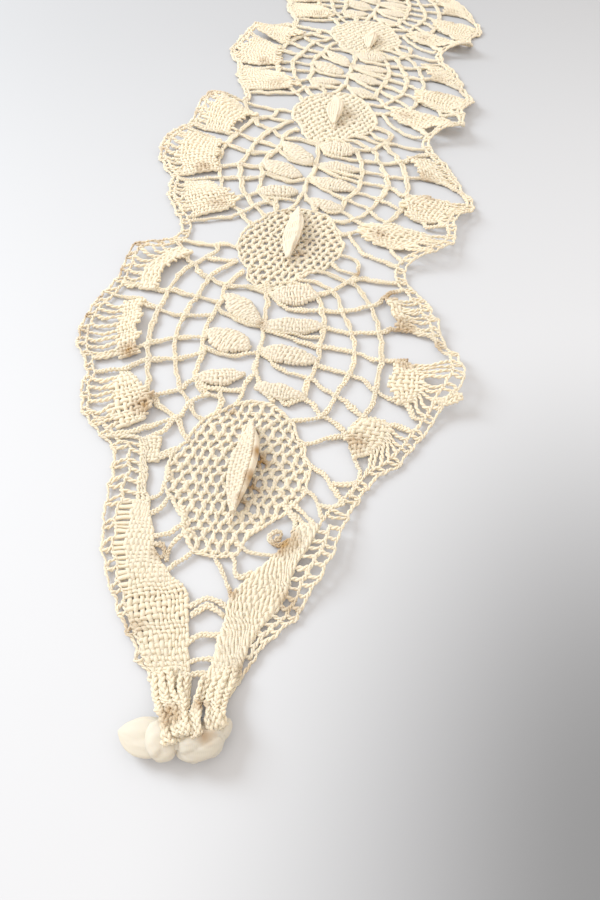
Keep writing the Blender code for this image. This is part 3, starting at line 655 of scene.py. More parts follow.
# ================================================================ lines
def smooth_line(points, step=STEP):
    """A smooth curve through the points, sampled about every step mm."""
    knots = np.array(points, float)
    chord = np.concatenate([[0.0], np.cumsum(np.linalg.norm(np.diff(knots, axis=0), axis=1))])
    slope = np.gradient(knots, chord, axis=0)
    count = max(3, int(round(chord[-1] / step)) + 1)
    at = np.linspace(0.0, chord[-1], count)
    part = np.clip(np.searchsorted(chord, at, side="right") - 1, 0, len(knots) - 2)
    span = (chord[part + 1] - chord[part])[:, None]
    t = (at[:, None] - chord[part][:, None]) / span
    start = (2 * t**3 - 3 * t**2 + 1) * knots[part] + (t**3 - 2 * t**2 + t) * span * slope[part]
    end = (3 * t**2 - 2 * t**3) * knots[part + 1] + (t**3 - t**2) * span * slope[part + 1]
    return start + end


def charted(points, distance):
    """A smooth line through points of (across, along), with distance added."""
    return smooth_line([(across, along + distance) for across, along in points])


def charted_rows(rows, distance):
    """The same through an edge's rows, each (along, across)."""
    return charted([(across, along) for along, across in rows], distance)


def run_of(line):
    """Distance along a line at each of its points."""
    return np.concatenate([[0.0], np.cumsum(np.linalg.norm(np.diff(line[:, :2], axis=0), axis=1))])


def sides_of(line):
    """Unit vectors to the right of a line's run, in the chart's plane."""
    ahead = np.gradient(line[:, :2], axis=0)
    ahead /= np.maximum(np.linalg.norm(ahead, axis=1, keepdims=True), TINY)
    return np.stack([ahead[:, 1], -ahead[:, 0]], axis=1)


def inset_line(line, gap):
    """The line moved to its right by a gap, one number or one for each point."""
    return line + sides_of(line) * np.reshape(gap, (-1, 1))


def point_at(line, share):
    """Points of a line at shares of its length, from nought to one."""
    run = run_of(line)
    at = np.asarray(share) * run[-1]
    return np.stack([np.interp(at, run, line[:, k]) for k in (0, 1)], axis=-1)


def between(near, far, across):
    """Points at a share of the way from near points to far points."""
    across = np.reshape(across, (-1, 1))
    return (1.0 - across) * near + across * far


def line_between(line, low, high):
    """The stretch of an edge line between two distances."""
    keep = (line[:, 1] >= low) & (line[:, 1] <= high)
    return line[keep]


def inside(points, loop):
    """Which points lie inside a closed loop."""
    result = np.zeros(len(points), bool)
    for (x0, y0), (x1, y1) in zip(loop, np.roll(loop, -1, axis=0)):
        crosses = (y0 > points[:, 1]) != (y1 > points[:, 1])
        level = x0 + (points[:, 1] - y0) * (x1 - x0) / (y1 - y0 + TINY)
        result ^= crosses & (points[:, 0] < level)
    return result


def swelling(share, margin, power, lean=1.0):
    """How far a form swells at shares of its length, from nought at its ends to one."""
    return np.sin(math.pi * np.clip(share, margin, 1.0 - margin) ** lean) ** power


# ================================================================ threads to meshes
class Yarn:
    """Collects threads and woven leaves in chart space and makes them one mesh."""

    def __init__(self):
        self.points = []
        self.faces = []
        self.wraps = []
        self.tones = []
        self.count = 0
        self.random = np.random.default_rng(SEED)

    def add_grid(self, grid, wrap, tone):
        """A grid of points whose second index closes on itself, with its ends capped."""
        rings, sides = grid.shape[:2]
        row, column = np.meshgrid(np.arange(rings - 1), np.arange(sides), indexing="ij")
        row, column = row.ravel(), column.ravel()
        corners = ((0, 0), (1, 0), (1, 1), (0, 1))
        faces = np.stack([(row + down) * sides + (column + over) % sides
                          for down, over in corners], axis=1)
        spots = np.stack([np.stack([wrap[row + down], (column + over) / sides], axis=1)
                          for down, over in corners], axis=1)
        rung = np.arange(sides // 2 - 1)
        cap = np.stack([rung, rung + 1, sides - 2 - rung, sides - 1 - rung], axis=1)
        faces = np.concatenate([faces, cap, cap[:, ::-1] + (rings - 1) * sides])
        spots = np.concatenate([spots, np.zeros((2 * len(cap), 4, 2))])
        self.points.append(grid.reshape(-1, 3))
        self.faces.append(faces + self.count)
        self.wraps.append(spots)
        self.tones.append(np.full(rings * sides, tone))
        self.count += rings * sides

    def thread(self, line, radius, flatness=1.0):
        """One thread along a line of (across, distance, height), round or pressed flat."""
        angles = math.tau * (np.arange(SIDES) + 0.5) / SIDES
        radius = np.broadcast_to(radius, len(line))[:, None]
        aside = (radius * np.cos(angles))[:, :, None] * sides_of(line)[:, None, :]
        ring = np.empty((len(line), SIDES, 3))
        ring[:, :, :2] = line[:, None, :2] + aside
        ring[:, :, 2] = line[:, None, 2] + flatness * radius * np.sin(angles)
        self.add_grid(ring, run_of(line), self.random.random())

    def waver(self, run):
        """A slow uneven wave along a run, between about minus one and one."""
        starts = math.tau * self.random.random(2)
        return sum(share * np.sin(math.tau * times * run / SWAY_LENGTH + start)
                   for (share, times), start in zip(SWAY_WAVES, starts))

    def swayed(self, line, reach):
        """The line moved unevenly to and fro sideways."""
        return line + sides_of(line) * (reach * self.waver(run_of(line)))[:, None]

    def bundle(self, kind, path, height=MIDDLE, fullness=1.0):
        """A plait or a twisted pair along a path of (across, distance), or with its heights."""
        threads, wide, high, radius, turn = KINDS[kind]
        if path.shape[1] == 3:
            height = path[:, 2]
            path = path[:, :2]
        side = sides_of(path)
        run = run_of(path)
        ends = np.clip(np.minimum(run, run[-1] - run) / SWAY_LENGTH, 0.0, 1.0)
        path = path + side * (SWAY * ends * self.waver(run))[:, None]
        fullness = fullness * thickness_at(path[:, 1])
        wide = wide * fullness * (1.0 + LOOSENESS * self.waver(run))
        phase = math.tau * run / turn + math.tau * self.random.random()
        for number in range(threads):
            angle = phase + math.tau * number / threads
            rise = np.sin(angle if threads == 2 else 2.0 * angle)
            strand = path + side * (wide * np.cos(angle))[:, None]
            self.thread(np.column_stack([strand, height + high * rise]), radius * fullness)

    def arc(self, kind, start, stop, sag):
        """A plait or a pair between two points, bowed toward the near side."""
        middle = 0.5 * (start + stop) - (0.0, sag)
        self.bundle(kind, smooth_line([start, middle, stop]))

    def knot(self, across, distance):
        """A small turn of thread drawn tight where two plaits cross."""
        turn = np.linspace(0.0, 1.0, KNOT_RINGS)
        angle = math.tau * KNOT_TURNS * turn + math.tau * self.random.random()
        full = float(thickness_at(distance))
        wide = full * KNOT_RADIUS * (1.0 - KNOT_DRAW * turn)
        line = np.stack([across + wide * np.cos(angle), distance + wide * np.sin(angle),
                         MIDDLE + full * KNOT_HEIGHT * turn], axis=1)
        self.thread(line, full * KNOT_THREAD)

    def cloth(self, inner, outer, uprights, rows, spread=EVEN, rise=0.0, radius=CLOTH_THREAD,
              shape=LEANING, ragged=0.0, swing=CLOTH_WAVE, level=MIDDLE):
        """Cloth stitch between two lines: uprights run along them, rows cross from side to side.

        The uprights spread from the inner side as far as spread says. Rise and shape say how the
        cloth swells, ragged how far rows stick out, and swing how far threads wave.
        """
        shares = np.linspace(0.0, 1.0, CLOTH_SAMPLES * (rows - 1) + 1)
        rails = point_at(inner, shares), point_at(outer, shares)
        reach = read_table(spread, shares, 1)[0]
        crown = rise * swelling(shares, *CLOTH_CROWN)
        for number in range(uprights):
            across = reach * (number + 0.5) / uprights
            wave = np.cos(math.pi * (shares * (rows - 1) + number))
            height = level + crown * np.interp(across, *shape) + swing * wave
            line = self.swayed(between(*rails, across), CLOTH_SWAY)
            self.thread(np.column_stack([line, height]), radius, CLOTH_FLATNESS)
        for number in range(rows):
            share = (number + self.random.uniform(-ROW_JITTER, ROW_JITTER)) / (rows - 1)
            share = min(max(share, 0.0), 1.0)
            ends = ragged * self.random.random(2)
            across = np.linspace(-ends[0], 1.0 + ends[1], CLOTH_SAMPLES * uprights + 1)
            woven = across / np.interp(share, shares, reach)
            wave = np.cos(math.pi * (woven * uprights - 0.5 + number))
            wave = np.where(woven > 1.0, 0.0, wave)
            lifted = np.interp(share, shares, crown) * np.interp(across, *shape)
            line = between(point_at(inner, share), point_at(outer, share), across)
            line = np.column_stack([line, level + lifted - swing * wave])
            self.thread(line, radius, CLOTH_FLATNESS)

    def ropes(self, inner, outer, count, radius):
        """Twisted pairs that run side by side between two lines, on top of the rows."""
        wide, high = (share * radius for share in ROPE_SHAPE)
        shares = np.linspace(0.0, 1.0, int(run_of(outer)[-1] / STEP))
        rails = point_at(inner, shares), point_at(outer, shares)
        for number in range(count):
            line = self.swayed(between(*rails, (number + 0.5) / count), CLOTH_SWAY)
            twist = math.tau * run_of(line) / ROPE_TURN + ROPE_PHASE * self.random.random()
            for turn in (0.0, math.pi):
                strand = line + sides_of(line) * (wide * np.cos(twist + turn))[:, None]
                height = MIDDLE + ROPE_LIFT + high * np.sin(twist + turn)
                self.thread(np.column_stack([strand, height]), radius)

    def hank(self, path, count, wide, high):
        """Several plaits that wander round each other along a path, with its heights."""
        side = sides_of(path)
        run = run_of(path)
        for number in range(count):
            away = math.sqrt((number + 0.5) / count)
            angle = GOLDEN_ANGLE * number + HANK_TWIST * run + HANK_SWAY * self.waver(run)
            line = path.copy()
            line[:, :2] += side * (wide * away * np.cos(angle))[:, None]
            line[:, 2] += high * away * np.sin(angle)
            self.bundle("gather", line)

    def mesh(self, name, material, slot, even=False):
        """The collected threads as one object that rides on the strip."""
        chart = np.concatenate(self.points)
        faces = np.concatenate(self.faces).astype(np.int32)
        spots = np.concatenate(self.wraps)
        data = bpy.data.meshes.new(name)
        data.vertices.add(len(chart))
        data.vertices.foreach_set("co", place(chart if even else wobbled(chart)).ravel())
        data.loops.add(faces.size)
        data.loops.foreach_set("vertex_index", faces.ravel())
        data.polygons.add(len(faces))
        data.polygons.foreach_set("loop_start", np.arange(0, faces.size, faces.shape[1]))
        data.update(calc_edges=True)
        wrap = data.uv_layers.new(name="thread_run")
        wrap.uv.foreach_set("vector", spots.reshape(-1).astype(np.float32))
        for key, values in (("stain_and_shade", stain_and_shade_at(chart)), ("tone", np.concatenate(self.tones))):
            attribute = data.attributes.new(key, "FLOAT", "POINT")
            attribute.data.foreach_set("value", values.astype(np.float32))
        data.shade_smooth()
        data.materials.append(material)
        piece = bpy.data.objects.new(name, data)
        bpy.context.scene.collection.objects.link(piece)
        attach(piece, "root")
        return piece


# ================================================================ parts of the lace
def wheel_path(wheel, points):
    """A wheel's path as a smooth line, cut where the far end's band begins; None if all is past."""
    line = smooth_line(points, STEP * FAR_STEP[wheel])
    if wheel == WHEEL_COUNT - 1:
        along, across = np.transpose(END_INNER)
        line = line[line[:, 1] < np.interp(line[:, 0], across, along) + END_OVERLAP]
        if len(line) < 3:
            return None
    return line + (0.0, wheel_distance(wheel))


def tied(points, rail, base):
    """The points run on to the edge's inner line where they end close to it."""
    end = np.array(points[-1]) + (0.0, base)
    gaps = np.linalg.norm(rail - end, axis=1)
    across, along = rail[np.argmin(gaps)] - (0.0, base)
    if TIE_LEAST < gaps.min() < TIE_MOST and abs(across) > abs(end[0]):
        return (*points, (across, along))
    return points


def weave_wheel(yarn, wheel, edges):
    """Rings, spokes and trunk of a wheel, and the small knots where they cross."""
    base = wheel_distance(wheel)
    paths = []
    for side, spokes, rings in ((-1, LEFT_SPOKES, LEFT_RINGS), (1, RIGHT_SPOKES, RIGHT_RINGS)):
        for _name, before, inner, middle, outer, after in spokes:
            points = (*before, inner, middle, outer, *after)
            paths.append(tied(points, edges[side][1], base))
        for ring, (count, before, after) in enumerate(rings):
            paths.append((*before, *(spoke[2 + ring] for spoke in spokes[:count]), *after))
    paths += [points for _name, points in TRUNK_PLAITS]
    paths += [points for _name, points in (DIAMOND_PLAITS if wheel else PICOT_PLAITS)]
    for points in paths:
        line = wheel_path(wheel, points)
        if line is not None:
            yarn.bundle("plait", line)
    limit = END_BAND if wheel == WHEEL_COUNT - 1 else REPEAT
    for spoke in (*LEFT_SPOKES, *RIGHT_SPOKES):
        for across, along in spoke[2:5]:
            if along < limit:
                yarn.knot(across, along + base)


def net_line(number, drift):
    """One pair of a net: it steps half a mesh aside between bars. Drift is its side, -1 or 1."""
    level = np.arange(-NET_ROWS * NET_SAMPLES, NET_ROWS * NET_SAMPLES + 1) / NET_SAMPLES
    row = np.floor(level)
    part = level - row
    bar = NET_BAR / NET_ROW
    slide = np.clip((part - bar) / (1.0 - bar), 0.0, 1.0)
    slide = slide * slide * (3.0 - 2.0 * slide)
    across = (number + drift * 0.5 * (row + slide)) * NET_PITCH
    along = FIRST_DIAMOND - FIRST_WHEEL + level * NET_ROW
    (reach_along, rate_along), (reach_across, rate_across) = NET_WANDER
    across = across + reach_along * np.sin(rate_along * along) + reach_across * np.sin(
        rate_across * across)
    across = across + drift * NET_PINCH * np.cos(math.pi * np.clip(part / bar, 0.0, 1.0))
    return np.stack([across, along], axis=1)


def weave_net(yarn, wheel):
    """The net of the diamond before a wheel, and the plait round it."""
    base = (0.0, wheel_distance(wheel))
    rim = smooth_line((*DIAMOND_RIM, DIAMOND_RIM[0]))
    yarn.bundle("net pair", rim + base)
    for drift in (-1, 1):
        height = MIDDLE - NET_SINK + NET_LAP * drift
        for number in range(-NET_LINES, NET_LINES + 1):
            line = net_line(number, drift)
            keep = inside(line, rim)
            cuts = np.flatnonzero(np.diff(keep.astype(int))) + 1
            for piece in np.split(np.arange(len(line)), cuts):
                if keep[piece[0]] and len(piece) > NET_LEAST:
                    run = smooth_line(line[piece][::2], STEP * FAR_STEP[wheel])
                    yarn.bundle("net pair", run + base, height, NET_THICKNESS[wheel])


def edge_line(repeat_rows, tape_rows):
    """One outer edge, from the knot to the far end, as a smooth line."""
    rows = [(wheel_distance(0) + along, across) for along, across in tape_rows]
    for wheel in range(WHEEL_COUNT):
        for along, across in repeat_rows:
            distance = wheel_distance(wheel) + along
            past_end = wheel == WHEEL_COUNT - 1 and along > END_EDGE[0][0] - PIN_STEP
            if distance > rows[-1][0] + PIN_STEP and not past_end:
                rows.append((distance, across))
    along, across = END_EDGE[0] if rows[0][1] < 0.0 else END_EDGE[-1]
    rows.append((wheel_distance(WHEEL_COUNT - 1) + along, across))
    return charted_rows(rows, 0.0)


def ladder_gap(distance, side):
    """Distance from the cord to the line inside it, mm, along an edge."""
    rows = list(TAPE_LADDER)
    for wheel in range(WHEEL_COUNT):
        rows += [(wheel_distance(wheel) + along, *gaps) for along, *gaps in REPEAT_LADDER]
    gap, = read_table(rows, distance, 1 if side < 0 else 2)
    return gap * np.interp(distance, *FAR_LADDER)


def weave_edges(yarn):
    """Cord, inner line and ladder of both edges, and the closing line of the far end."""
    edges = {}
    low, high = FINE_LADDER
    for side, repeat_rows, tape_rows in (
            (-1, LEFT_EDGE, LEFT_TAPE_EDGE), (1, RIGHT_EDGE, RIGHT_TAPE_EDGE)):
        line = edge_line(repeat_rows, tape_rows)
        run = run_of(line)
        swing = np.abs(np.cos(math.pi * run / PIN_GAP)) ** PIN_SHARPNESS - PIN_INWARD
        cord = inset_line(line, -side * (CORD_INSET - PIN_BULGE * swing))
        inner = inset_line(line, -side * (CORD_INSET + ladder_gap(line[:, 1], side)))
        yarn.bundle("cord", cord)
        yarn.bundle("pair", inner)
        for number in range(1, int(run[-1] / PIN_GAP)):
            share = number * PIN_GAP / run[-1]
            if side > 0 and low < point_at(line, share)[1] < high:
                continue
            for turn in (-1.0, 1.0):
                start = point_at(cord, share + turn * PIN_SPREAD / run[-1])
                foot = share + turn * RUNG_SPREAD / run[-1]
                stop = point_at(inner, foot)
                middle = RUNG_BEND * point_at(cord, foot) + (1.0 - RUNG_BEND) * stop
                yarn.bundle("pair", smooth_line([start, middle, stop]))
        edges[side] = cord, inner
    weave_fine_ladder(yarn, *edges[1])
    close = charted_rows(END_EDGE, wheel_distance(WHEEL_COUNT - 1))
    yarn.bundle("cord", inset_line(close, CORD_INSET))
    return edges


def weave_fine_ladder(yarn, cord, rail):
    """Two rows of small round holes beside the right tape."""
    outer, inner = (line_between(line, *FINE_LADDER) for line in (cord, rail))
    shares = np.linspace(0.0, 1.0, len(outer))
    spine = 0.5 * (point_at(outer, shares) + point_at(inner, shares))
    yarn.bundle("net pair", spine)
    count = int(run_of(spine)[-1] / FINE_STEP)
    for number in range(count):
        for rows, shift in zip(((inner, spine), (spine, outer)), FINE_SHIFTS):
            start, stop = (point_at(line, (number + shift) / count) for line in rows)
            yarn.arc("net pair", start, stop, FINE_SAG)


def weave_fans(yarn, edges):
    """Patches of cloth stitch and the ribs that spread from them to the edge."""
    for wheel in range(WHEEL_COUNT):
        base = wheel_distance(wheel)
        reach, spread = FAN_REACH[wheel], FAN_SPREAD[wheel]
        for _name, inside_line, outside_line, uprights, rows, first, last, ribs, side in FANS:
            if wheel == WHEEL_COUNT - 1 and last > END_BAND:
                continue
            rail = line_between(edges[side][1], base + first, base + last)
            outer = charted(outside_line, base)
            shares = np.linspace(0.0, 1.0, len(outer))
            outer = point_at(outer, shares)
            inner = point_at(charted(inside_line, base), shares)
            uneven = FAN_UNEVEN * yarn.waver(run_of(inner))[:, None]
            inner = inner + (spread + uneven) * (inner - outer)
            outer = outer + reach * (point_at(rail, shares) - outer)
            uprights = int(round(uprights * (1.0 + reach + spread)))
            yarn.cloth(inner, outer, uprights, rows, rise=FAN_RISE, ragged=FAN_RAGGED)
            for number in range(ribs):
                share = (number + 0.5 + yarn.random.uniform(-RIB_JITTER, RIB_JITTER)) / ribs
                yarn.arc("rib", point_at(outer, share), point_at(rail, share),
                         yarn.random.uniform(*RIB_SAG))


def weave_tapes(yarn, edges):
    """The two cloth-stitch tapes and the plaits round the first diamond."""
    inner = charted(LEFT_TAPE_INNER, FIRST_DIAMOND)
    rail = edges[-1][1]
    low, high = inner[0, 1], inner[-1, 1]
    turn = FIRST_DIAMOND + LEFT_WEAVE_END
    yarn.cloth(line_between(inner, low, turn), line_between(rail, low, turn), *LEFT_TAPE_WEAVE,
               LEFT_UPRIGHTS, radius=TAPE_THREAD)
    weave_open_rungs(yarn, line_between(inner, turn, high), line_between(rail, turn, high))
    lump = [charted(points, FIRST_DIAMOND) for points in (LUMP_INNER, LUMP_OUTER)]
    yarn.cloth(*lump, *LUMP_WEAVE)
    inner = charted(RIGHT_TAPE_INNER, FIRST_DIAMOND)
    outer = line_between(edges[1][1], inner[0, 1], inner[-1, 1])
    yarn.cloth(inner, outer, *RIGHT_TAPE_WEAVE, radius=TAPE_THREAD)
    yarn.ropes(inner, outer, RIGHT_ROPES, TAPE_ROPE)
    for _name, points in START_PLAITS:
        yarn.bundle("fine plait", charted(points, FIRST_DIAMOND))
    for points, count, wide, high in NECK:
        yarn.hank(smooth_line(points), count, wide, high)


def weave_open_rungs(yarn, inner, outer):
    """The upper end of the left tape: open rungs that hang on a few upright cords."""
    shares = np.linspace(0.0, 1.0, len(inner))
    rails = point_at(inner, shares), point_at(outer, shares)
    for low, high in TAPE_CORDS:
        yarn.bundle("net pair", between(*rails, low + (high - low) * shares))
    count = int(run_of(inner)[-1] / TAPE_RUNG_STEP)
    for number in range(count + 1):
        share = number / count
        yarn.arc("rib", point_at(inner, share), point_at(outer, share), TAPE_RUNG_SAG)


def weave_end(yarn):
    """The woven band that closes the far end."""
    inner, outer = (charted_rows(rows, wheel_distance(WHEEL_COUNT - 1))
                    for rows in (END_INNER, END_EDGE))
    yarn.cloth(inner, inset_line(outer, END_INSET), *END_WEAVE)


def leaf_frame(root, tip):
    """Length of a leaf and the unit vectors ahead along it and to its right."""
    length = np.linalg.norm(tip - root)
    ahead = (tip - root) / length
    return length, ahead, np.array([ahead[1], -ahead[0]])


def weave_leaves(yarn):
    """The flat leaves of every wheel: rows that run to and fro over a few lengthwise threads."""
    share = np.linspace(0.0, 1.0, LEAF_SAMPLES)
    for wheel in range(WHEEL_COUNT):
        for *ends, width in WHEEL_LEAVES:
            root, tip = np.array(ends[:2]), np.array(ends[2:])
            length, _ahead, side = leaf_frame(root, tip)
            half = 0.5 * width * swelling(share, *LEAF_SWELL)[:, None] * side
            spine = between(root, tip, share) + (0.0, wheel_distance(wheel))
            yarn.cloth(spine - half, spine + half, LEAF_UPRIGHTS, int(length / LEAF_RIB),
                       rise=LEAF_CROWN, radius=LEAF_THREAD, shape=DOMED, ragged=LEAF_RAGGED,
                       swing=LEAF_WAVE)


def relief_profile(across):
    """Height of a relief leaf across its body: the slope alone, and with its rolled rim."""
    low, width, power = RELIEF_SLOPE
    slope = low + (1.0 - low) * np.clip((across + 1.0) / width, 0.0, 1.0) ** power
    place_in, width, rest = RELIEF_ROLL
    over = np.clip((across - place_in) / width, 0.0, 1.0)
    return slope, slope * (rest + (1.0 - rest) * np.sqrt(np.clip(1.0 - over**2, 0.0, 1.0)))


def relief_ribs(across, run, ridged):
    """Height of the stitches, or of the ridges, on a relief leaf's body."""
    column = np.floor((across + 1.0) / RELIEF_COLUMN)
    beat = np.cos(math.tau * run[:, None] / RELIEF_RIB + math.pi * column)
    if ridged:
        ridge, rib = RIDGE_SHAPE
        return ridge * np.cos(math.tau * (across + 1.0) / RIDGE_WIDTH) + rib * beat
    end, soft_right, soft_left = RELIEF_FADES
    woven = np.clip((end - across) / soft_right, 0.0, 1.0)
    woven = woven * np.clip((across + 1.0) / soft_left, 0.0, 1.0)
    rib, groove = RELIEF_STITCH
    return woven * (rib * beat + groove * np.cos(math.tau * (across + 1.0) / RELIEF_COLUMN))


def weave_relief(yarn, row):
    """A woven leaf that slopes up from the net to a smooth rolled rim on its right."""
    wheel, *ends, left, right, rise = row
    near, far = np.array(ends[:2]), np.array(ends[2:])
    length, ahead, side = leaf_frame(near, far)
    ridged = wheel == RIDGED_LEAF
    base = (0.0, wheel_distance(wheel))
    across = np.linspace(-1.0, 1.0, RELIEF_ACROSS)
    slope, profile = relief_profile(across)

    share = np.linspace(0.0, 1.0, int(length / RELIEF_RIB) * RELIEF_SAMPLES + 1)
    arch = swelling(share, *RELIEF_ARCH)[:, None]
    wide = [half * swelling(share, *RELIEF_SWELL, lean)[:, None]
            for half, lean in zip((left, right), RELIEF_LEAN)]
    back = across[-2:0:-1]
    order = np.concatenate([across, back])
    reach = np.where(order < 0.0, *wide) * order
    upper, lower = (RELIEF_FOOT + lift for lift in RELIEF_LIFT)
    under = np.interp(back, across, profile) * np.clip((1.0 - back) / RELIEF_EDGE, 0.0, 1.0)
    grid = np.empty((len(share), len(order), 3))
    grid[:, :, :2] = between(near, far, share)[:, None] + reach[:, :, None] * side + base
    grid[:, :RELIEF_ACROSS, 2] = upper + arch * (
        rise * profile + relief_ribs(across, share * length, ridged))
    grid[:, RELIEF_ACROSS:, 2] = lower + arch * rise * RELIEF_UNDER * under
    yarn.add_grid(grid[:, ::-1], share * length, RELIEF_TONE)

    share = np.linspace(0.0, 1.0, LEAF_SAMPLES)
    spine = between(near, far, share) + base
    rims = [spine + turn * half * swelling(share, *RELIEF_SWELL, lean)[:, None] * side
            for turn, half, lean in zip(RELIEF_WOVEN, (left, right), RELIEF_LEAN)]
    weave = RIDGED_WEAVE if ridged else (RELIEF_UPRIGHTS, int(length / RELIEF_PITCH))
    yarn.cloth(*rims, *weave, rise=rise, radius=RELIEF_THREAD, swing=RELIEF_WAVE,
               level=RELIEF_FOOT + RELIEF_LOFT, ragged=RELIEF_RAGGED,
               shape=((across + 1.0) / (RELIEF_WOVEN[1] + 1.0), slope))
    tail = [(*(near + forward * ahead + aside * side), height)
            for forward, aside, height in RELIEF_TAIL]
    yarn.bundle("pair", smooth_line(tail) + (*base, 0.0))


def tie_knot(yarn):
    """The knot of the tied end: soft folds with creases that run along them."""
    along = np.sin(np.linspace(-FOLD_ENDS, FOLD_ENDS, FOLD_RINGS) * math.pi)[:, None]
    angle = math.tau * np.arange(FOLD_SIDES) / FOLD_SIDES
    wrinkle = sum(depth * np.cos(waves * angle + drift * along)
                  for depth, waves, drift in FOLD_WRINKLES)
    for across, distance, height, wide, long, high, turn, creases, depth, point in KNOT_FOLDS:
        girth = 1.0 - np.abs(along) ** (2.0 * point)
        girth = np.clip(girth, 0.0, 1.0) ** (FOLD_BLUNTNESS / point)
        crease = 0.5 * creases * angle + FOLD_DRIFT * along + wide
        size = girth * (1.0 - depth * (1.0 - np.sqrt(np.abs(np.cos(crease)))) + wrinkle)
        ahead, aside = wide * along, long * size * np.cos(angle)
        lean = math.radians(turn)
        grid = np.empty((FOLD_RINGS, FOLD_SIDES, 3))
        grid[:, :, 0] = across + ahead * math.cos(lean) - aside * math.sin(lean)
        grid[:, :, 1] = distance + ahead * math.sin(lean) + aside * math.cos(lean)
        grid[:, :, 2] = np.maximum(height + high * size * np.sin(angle), FOLD_FLOOR)
        yarn.add_grid(grid[:, ::-1], (along[:, 0] + 1.0) * wide, yarn.random.random())


# ================================================================ materials
# Columns: name, colour, roughness, depth of the relief
LINEN = ("linen_thread", (0.925, 0.80, 0.575), 0.75, 0.5)
PALE_LINEN = ("linen_leaf", (0.87, 0.745, 0.545), 0.70, 0.35)
RIBBON = ("knot_ribbon", (0.71, 0.64, 0.51), 0.6, 0.15)
# Brown of the stains, also used as painted shade beside the relief leaves
STAIN_AND_SHADE = (0.37, 0.185, 0.045, 1.0)
DARK_THREAD = 0.88        # brightness of the darkest threads beside the palest
TONE_SHARE = 0.35         # how much a thread's own tone adds to the cloudy change of colour
TONE_STOPS = (0.35, 0.95)             # where on that scale the colour is darkest and palest
CLOUD_SCALE = 55.0        # scale of the noise that changes the colour
CLOUD_DETAIL = 5.0
PATCH_SCALE = 420.0       # of the noise that breaks up the stains
FUZZ_SCALE = 6000.0       # and of the thread's fuzz
TWIST_RATE = 1.6          # turns of the yarn's twist for each mm
TWIST_PLIES = 4.0 * math.pi           # two plies, radians for each turn
PLY_HEIGHT = 0.5          # height of the plies beside the fuzz
BUMP_HEIGHT = 0.00006     # height of the plies and the fuzz, m
SOFT_THREAD = {
    "Sheen Weight": 0.08,
    "Sheen Roughness": 0.5,
    "Specular IOR Level": 0.22,
    "Subsurface Weight": 0.15,
    "Subsurface Radius": (1.0, 0.7, 0.4),
    "Subsurface Scale": 0.0008,
}
LIGHT_THROUGH = 0.36      # share of light that passes through a thread
WARM_LIGHT = (1.0, 0.93, 0.78, 1.0)   # the tint that light takes on its way through
FLOOR_ROUGHNESS = 0.7
FLOOR_MOTTLING = 3.0
FLOOR_COLOURS = ((0.434, 0.433, 0.447), (0.448, 0.447, 0.461))
# The soft round shade and the slow dimming below are painted shade in the floor's colour, not cast
# by the lamps.
# A soft round shade on the floor beside the tied end: its middle, m, its turn, radians, its half
# sizes, m, and how the floor's brightness goes from its middle to its rim. These and the slow
# dimming after them were fitted to the brightness of the surface in the photo
SHADE_PLACE = (0.0810, -0.2021, 0.0)
SHADE_TURN = -0.1341
SHADE_SIZE = (0.0812, 0.1353, 1.0)
SHADE_RANGE = (0.098, 1.0, 0.205, 1.0)
PAINTED_DIMMING_RUN = (-0.3635, 0.9316, 0.0)      # direction in which the floor slowly dims
PAINTED_DIMMING_RANGE = (-0.216, 0.211, 1.0, 0.565)


class Look:
    """A new material and its nodes."""

    def __init__(self, name, inputs):
        self.material = bpy.data.materials.new(name)
        self.material.use_nodes = True
        self.tree = self.material.node_tree
        self.shader = self.tree.nodes["Principled BSDF"]
        self.feed(self.shader, inputs)

    def feed(self, node, inputs):
        """Sets a node's inputs, each to a value or to another node's output."""
        for key, value in inputs.items():
            if isinstance(value, bpy.types.NodeSocket):
                self.tree.links.new(value, node.inputs[key])
            else:
                node.inputs[key].default_value = value

    def add(self, kind, output, inputs, **settings):
        """A new node; returns one of its outputs."""
        node = self.tree.nodes.new("ShaderNode" + kind)
        for key, value in settings.items():
            setattr(node, key, value)
        self.feed(node, inputs)
        return node.outputs[output]

    def calculate(self, operation, *values, clamp=False):
        """Arithmetic on numbers and outputs."""
        return self.add("Math", 0, dict(enumerate(values)), operation=operation, use_clamp=clamp)

    def noise(self, **inputs):
        """Cloudy noise."""
        return self.add("TexNoise", "Fac", inputs)

    def ramp(self, source, places, colours):
        """Two colours that blend between two places of a scale."""
        colour = self.add("ValToRGB", "Color", {"Fac": source})
        for element, place_in, shade in zip(colour.node.color_ramp.elements, places, colours):
            element.position = place_in
            element.color = (*shade, 1.0)
        return colour


